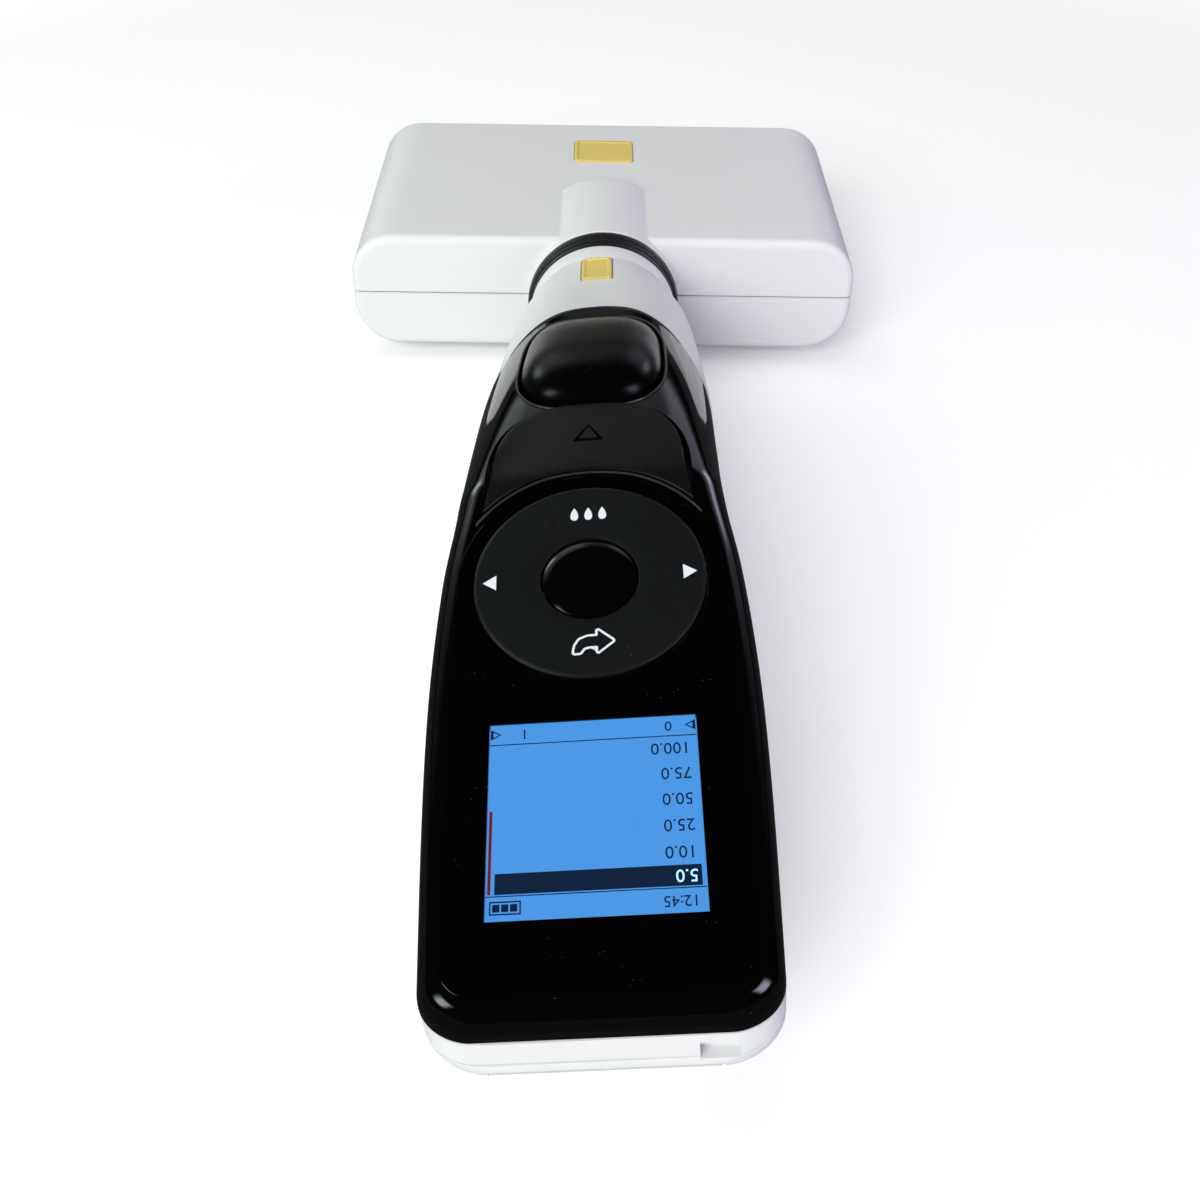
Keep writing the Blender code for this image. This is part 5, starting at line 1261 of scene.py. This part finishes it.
# Neck: a black ring with a groove round it, and a plain white collar
neck = {"bore": 0.0113, "ringEnd": -0.0025, "ringStart": -0.0080, "ringRadius": 0.0175, "lipRadius": 0.0167,
        "lipStart": -0.0062, "bulge": 0.0011, "power": 0.8, "ease": 0.0002, "collarEnd": -0.0083,
        "collarStart": -0.0138, "collarRadius": 0.0166, "collarEase": 0.0003, "steps": 144}


def makeNeck():
    bore, end, start, lip = neck["bore"], neck["ringEnd"], neck["ringStart"], neck["lipStart"]
    outer = [(bore, end)]
    outer += [(neck["ringRadius"] - neck["bulge"] * (1 - sin(pi * share) ** neck["power"]),
               end - (end - lip) / 2 * (1 - cos(pi * share))) for share in even(24)]
    outer += [(neck["lipRadius"], lip - 0.0001), (neck["lipRadius"], start), (bore, start)]
    collar = rectangle(bore, neck["collarRadius"], neck["collarEnd"], neck["collarStart"])
    for name, profile, finish, node in (
            ("neckRing", softCorners(outer, neck["ease"], 3), "ring_black", "neck_ring"),
            ("neckCollar", softCorners(collar, neck["collarEase"], 4), "casing_white", "neck_collar")):
        place(turned(name, profile, headPlace, neck["steps"]), "head", finish, node, sharp=40)


makeCasing()
makeCoverLips()
makeBadges()
print("casing and badges made")
makeLens()
makeWheel()
makeOkButton()
makeRunButton()
makeEjectorButton()
makePanelLip()
print("lens, wheel and buttons made")
makeScreen()
makeWheelMarks()
print("display and print made")
headHalf("headFrontShell", 1, "head_front_shell")
headHalf("headBackShell", -1, "head_back_shell")
makeNeck()
print("channel head and neck made")


# Geometry Nodes: one tree sets out a row of whatever mesh its object holds
def makeRowTree():
    tree = bpy.data.node_groups.new("rowOfPieces", "GeometryNodeTree")
    for label, kind in (("Geometry", "Geometry"), ("Count", "Int"), ("Start", "Vector"), ("Pitch", "Vector"),
                        ("Finish", "Material")):
        tree.interface.new_socket(label, in_out="INPUT", socket_type="NodeSocket" + kind)
    tree.interface.new_socket("Geometry", in_out="OUTPUT", socket_type="NodeSocketGeometry")
    given = tree.nodes.new("NodeGroupInput").outputs
    line = addNode(tree, "GeometryNodeMeshLine", {"Count": given["Count"], "Start Location": given["Start"],
                                                  "Offset": given["Pitch"]}, mode="OFFSET")
    row = addNode(tree, "GeometryNodeInstanceOnPoints", {"Points": line.outputs["Mesh"],
                                                         "Instance": given["Geometry"]})
    real = addNode(tree, "GeometryNodeRealizeInstances", {"Geometry": row.outputs["Instances"]})
    dressed = addNode(tree, "GeometryNodeSetMaterial", {"Geometry": real.outputs["Geometry"],
                                                        "Material": given["Finish"]})
    addNode(tree, "NodeGroupOutput", {"Geometry": dressed.outputs["Geometry"]})
    return tree


rowTree = makeRowTree()


def setRow(piece, layout, finish, where, start=None, axis=0):
    # The piece's mesh, repeated along an axis of its own frame, and then put in its place. The row
    # is centred, or else runs from its start the other way
    rows = piece.modifiers.new("row", "NODES")
    rows.node_group = rowTree
    first, pitch = [0.0] * 3, [0.0] * 3
    first[axis] = -(layout["count"] - 1) * layout["pitch"] / 2 if start is None else start
    pitch[axis] = layout["pitch"] if start is None else -layout["pitch"]
    values = {"Count": layout["count"], "Start": first, "Pitch": pitch, "Finish": finishes[finish]}
    for item in rowTree.interface.items_tree:
        if item.in_out == "INPUT" and item.name in values:
            rows[item.identifier] = values[item.name]
    settle(piece)
    piece.data.transform(where)
    return piece


fitting = {"count": 12, "pitch": 0.009, "start": 0.0705, "end": 0.0840, "tip": 0.0023, "shoulder": 0.0033,
           "shoulderLength": 0.0014, "spigot": 0.0015, "spigotLength": 0.004, "bore": 0.0008,
           "ribs": (0.30, 0.62), "ribSink": 0.0001, "ribDepth": 0.0003, "ribHalf": 0.0004, "ribEnd": 0.0006}
ridges = {"count": 9, "pitch": 0.0016, "halfWidth": 0.0075, "height": 0.00045, "start": -0.170,
          "foot": 0.00045, "crest": 0.0002,
          "taper": ((-1.0, 0.35), (-0.985, 0.8), (-0.95, 1.0), (0.95, 1.0), (0.985, 0.8), (1.0, 0.35))}
contacts = {"count": 4, "pitch": 0.00078, "width": 0.0004, "length": 0.0036, "thickness": 0.00024,
            "offset": 0.0011}


def makeFittings():
    start, end, tip, bore = fitting["start"], fitting["end"], fitting["tip"], fitting["bore"]
    shoulder, spigot, spigotEnd = fitting["shoulder"], fitting["spigot"], start - fitting["spigotLength"]
    step = start + fitting["shoulderLength"]
    profile = [(bore, spigotEnd), (spigot, spigotEnd), (spigot, start), (shoulder, start), (shoulder, step)]
    for share in fitting["ribs"]:
        radius = shoulder + (tip - shoulder) * share - fitting["ribSink"]
        y, low = step + (end - step) * share, radius - fitting["ribDepth"]
        profile += [(radius, y - fitting["ribEnd"]), (low, y - fitting["ribHalf"]),
                    (low, y + fitting["ribHalf"]), (radius, y + fitting["ribEnd"])]
    profile += [(tip, end), (bore, end)]
    piece = turned("tipFittings", softCorners(profile, 0.00012, 2), Matrix.Identity(4), 28)
    setRow(piece, fitting, "inner_grey", headPlace)
    place(piece, "head", "inner_grey", *[f"tip_fitting_{number:02d}" for number in range(1, 13)], sharp=40)


def makeRidges():
    # Grip ridges across the battery door's outer face
    foot, crest, height = ridges["foot"], ridges["crest"], ridges["height"]
    outline = softCorners([(-foot, 0.0), (-crest, height), (crest, height), (foot, 0.0)], 0.00015, 3)
    sections = [[(x * ridges["halfWidth"], l * share, n * share - 0.0002) for l, n in outline]
                for x, share in ridges["taper"]]
    piece = loft("doorRidges", sections, Matrix.Rotation(pi, 4, "Y"))
    foot = handlePlace @ Matrix.Translation((0.0, 0.0, -grip["floor"]))
    setRow(piece, ridges, "casing_white", foot, ridges["start"], 1)
    place(piece, "battery_door", "casing_white", sharp=35)


def makeContacts():
    low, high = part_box("charging_socket")
    corner = Vector((contacts["width"], contacts["length"], contacts["thickness"])) / 2
    piece = slab("socketContacts", -corner, corner, Matrix.Identity(4))
    tilt = Matrix.Translation((Vector(low) + Vector(high)) / 2) @ handlePlace.to_3x3().to_4x4()
    setRow(piece, contacts, "brass", tilt @ Matrix.Translation((0.0, contacts["offset"], 0.0)))
    place(piece, "handle", "brass")


makeFittings()
makeRidges()
makeContacts()
print("rows set out")


# Every solid that still shows gets its slot's finish
slots = {part["node"]: part["material_slot"] for part in frame["record"]["subparts"]}
for name, node in nodes.items():
    node.data.materials.clear()
    node.data.materials.append(finishes[slots[name]])

scene.view_settings.view_transform = "Standard"
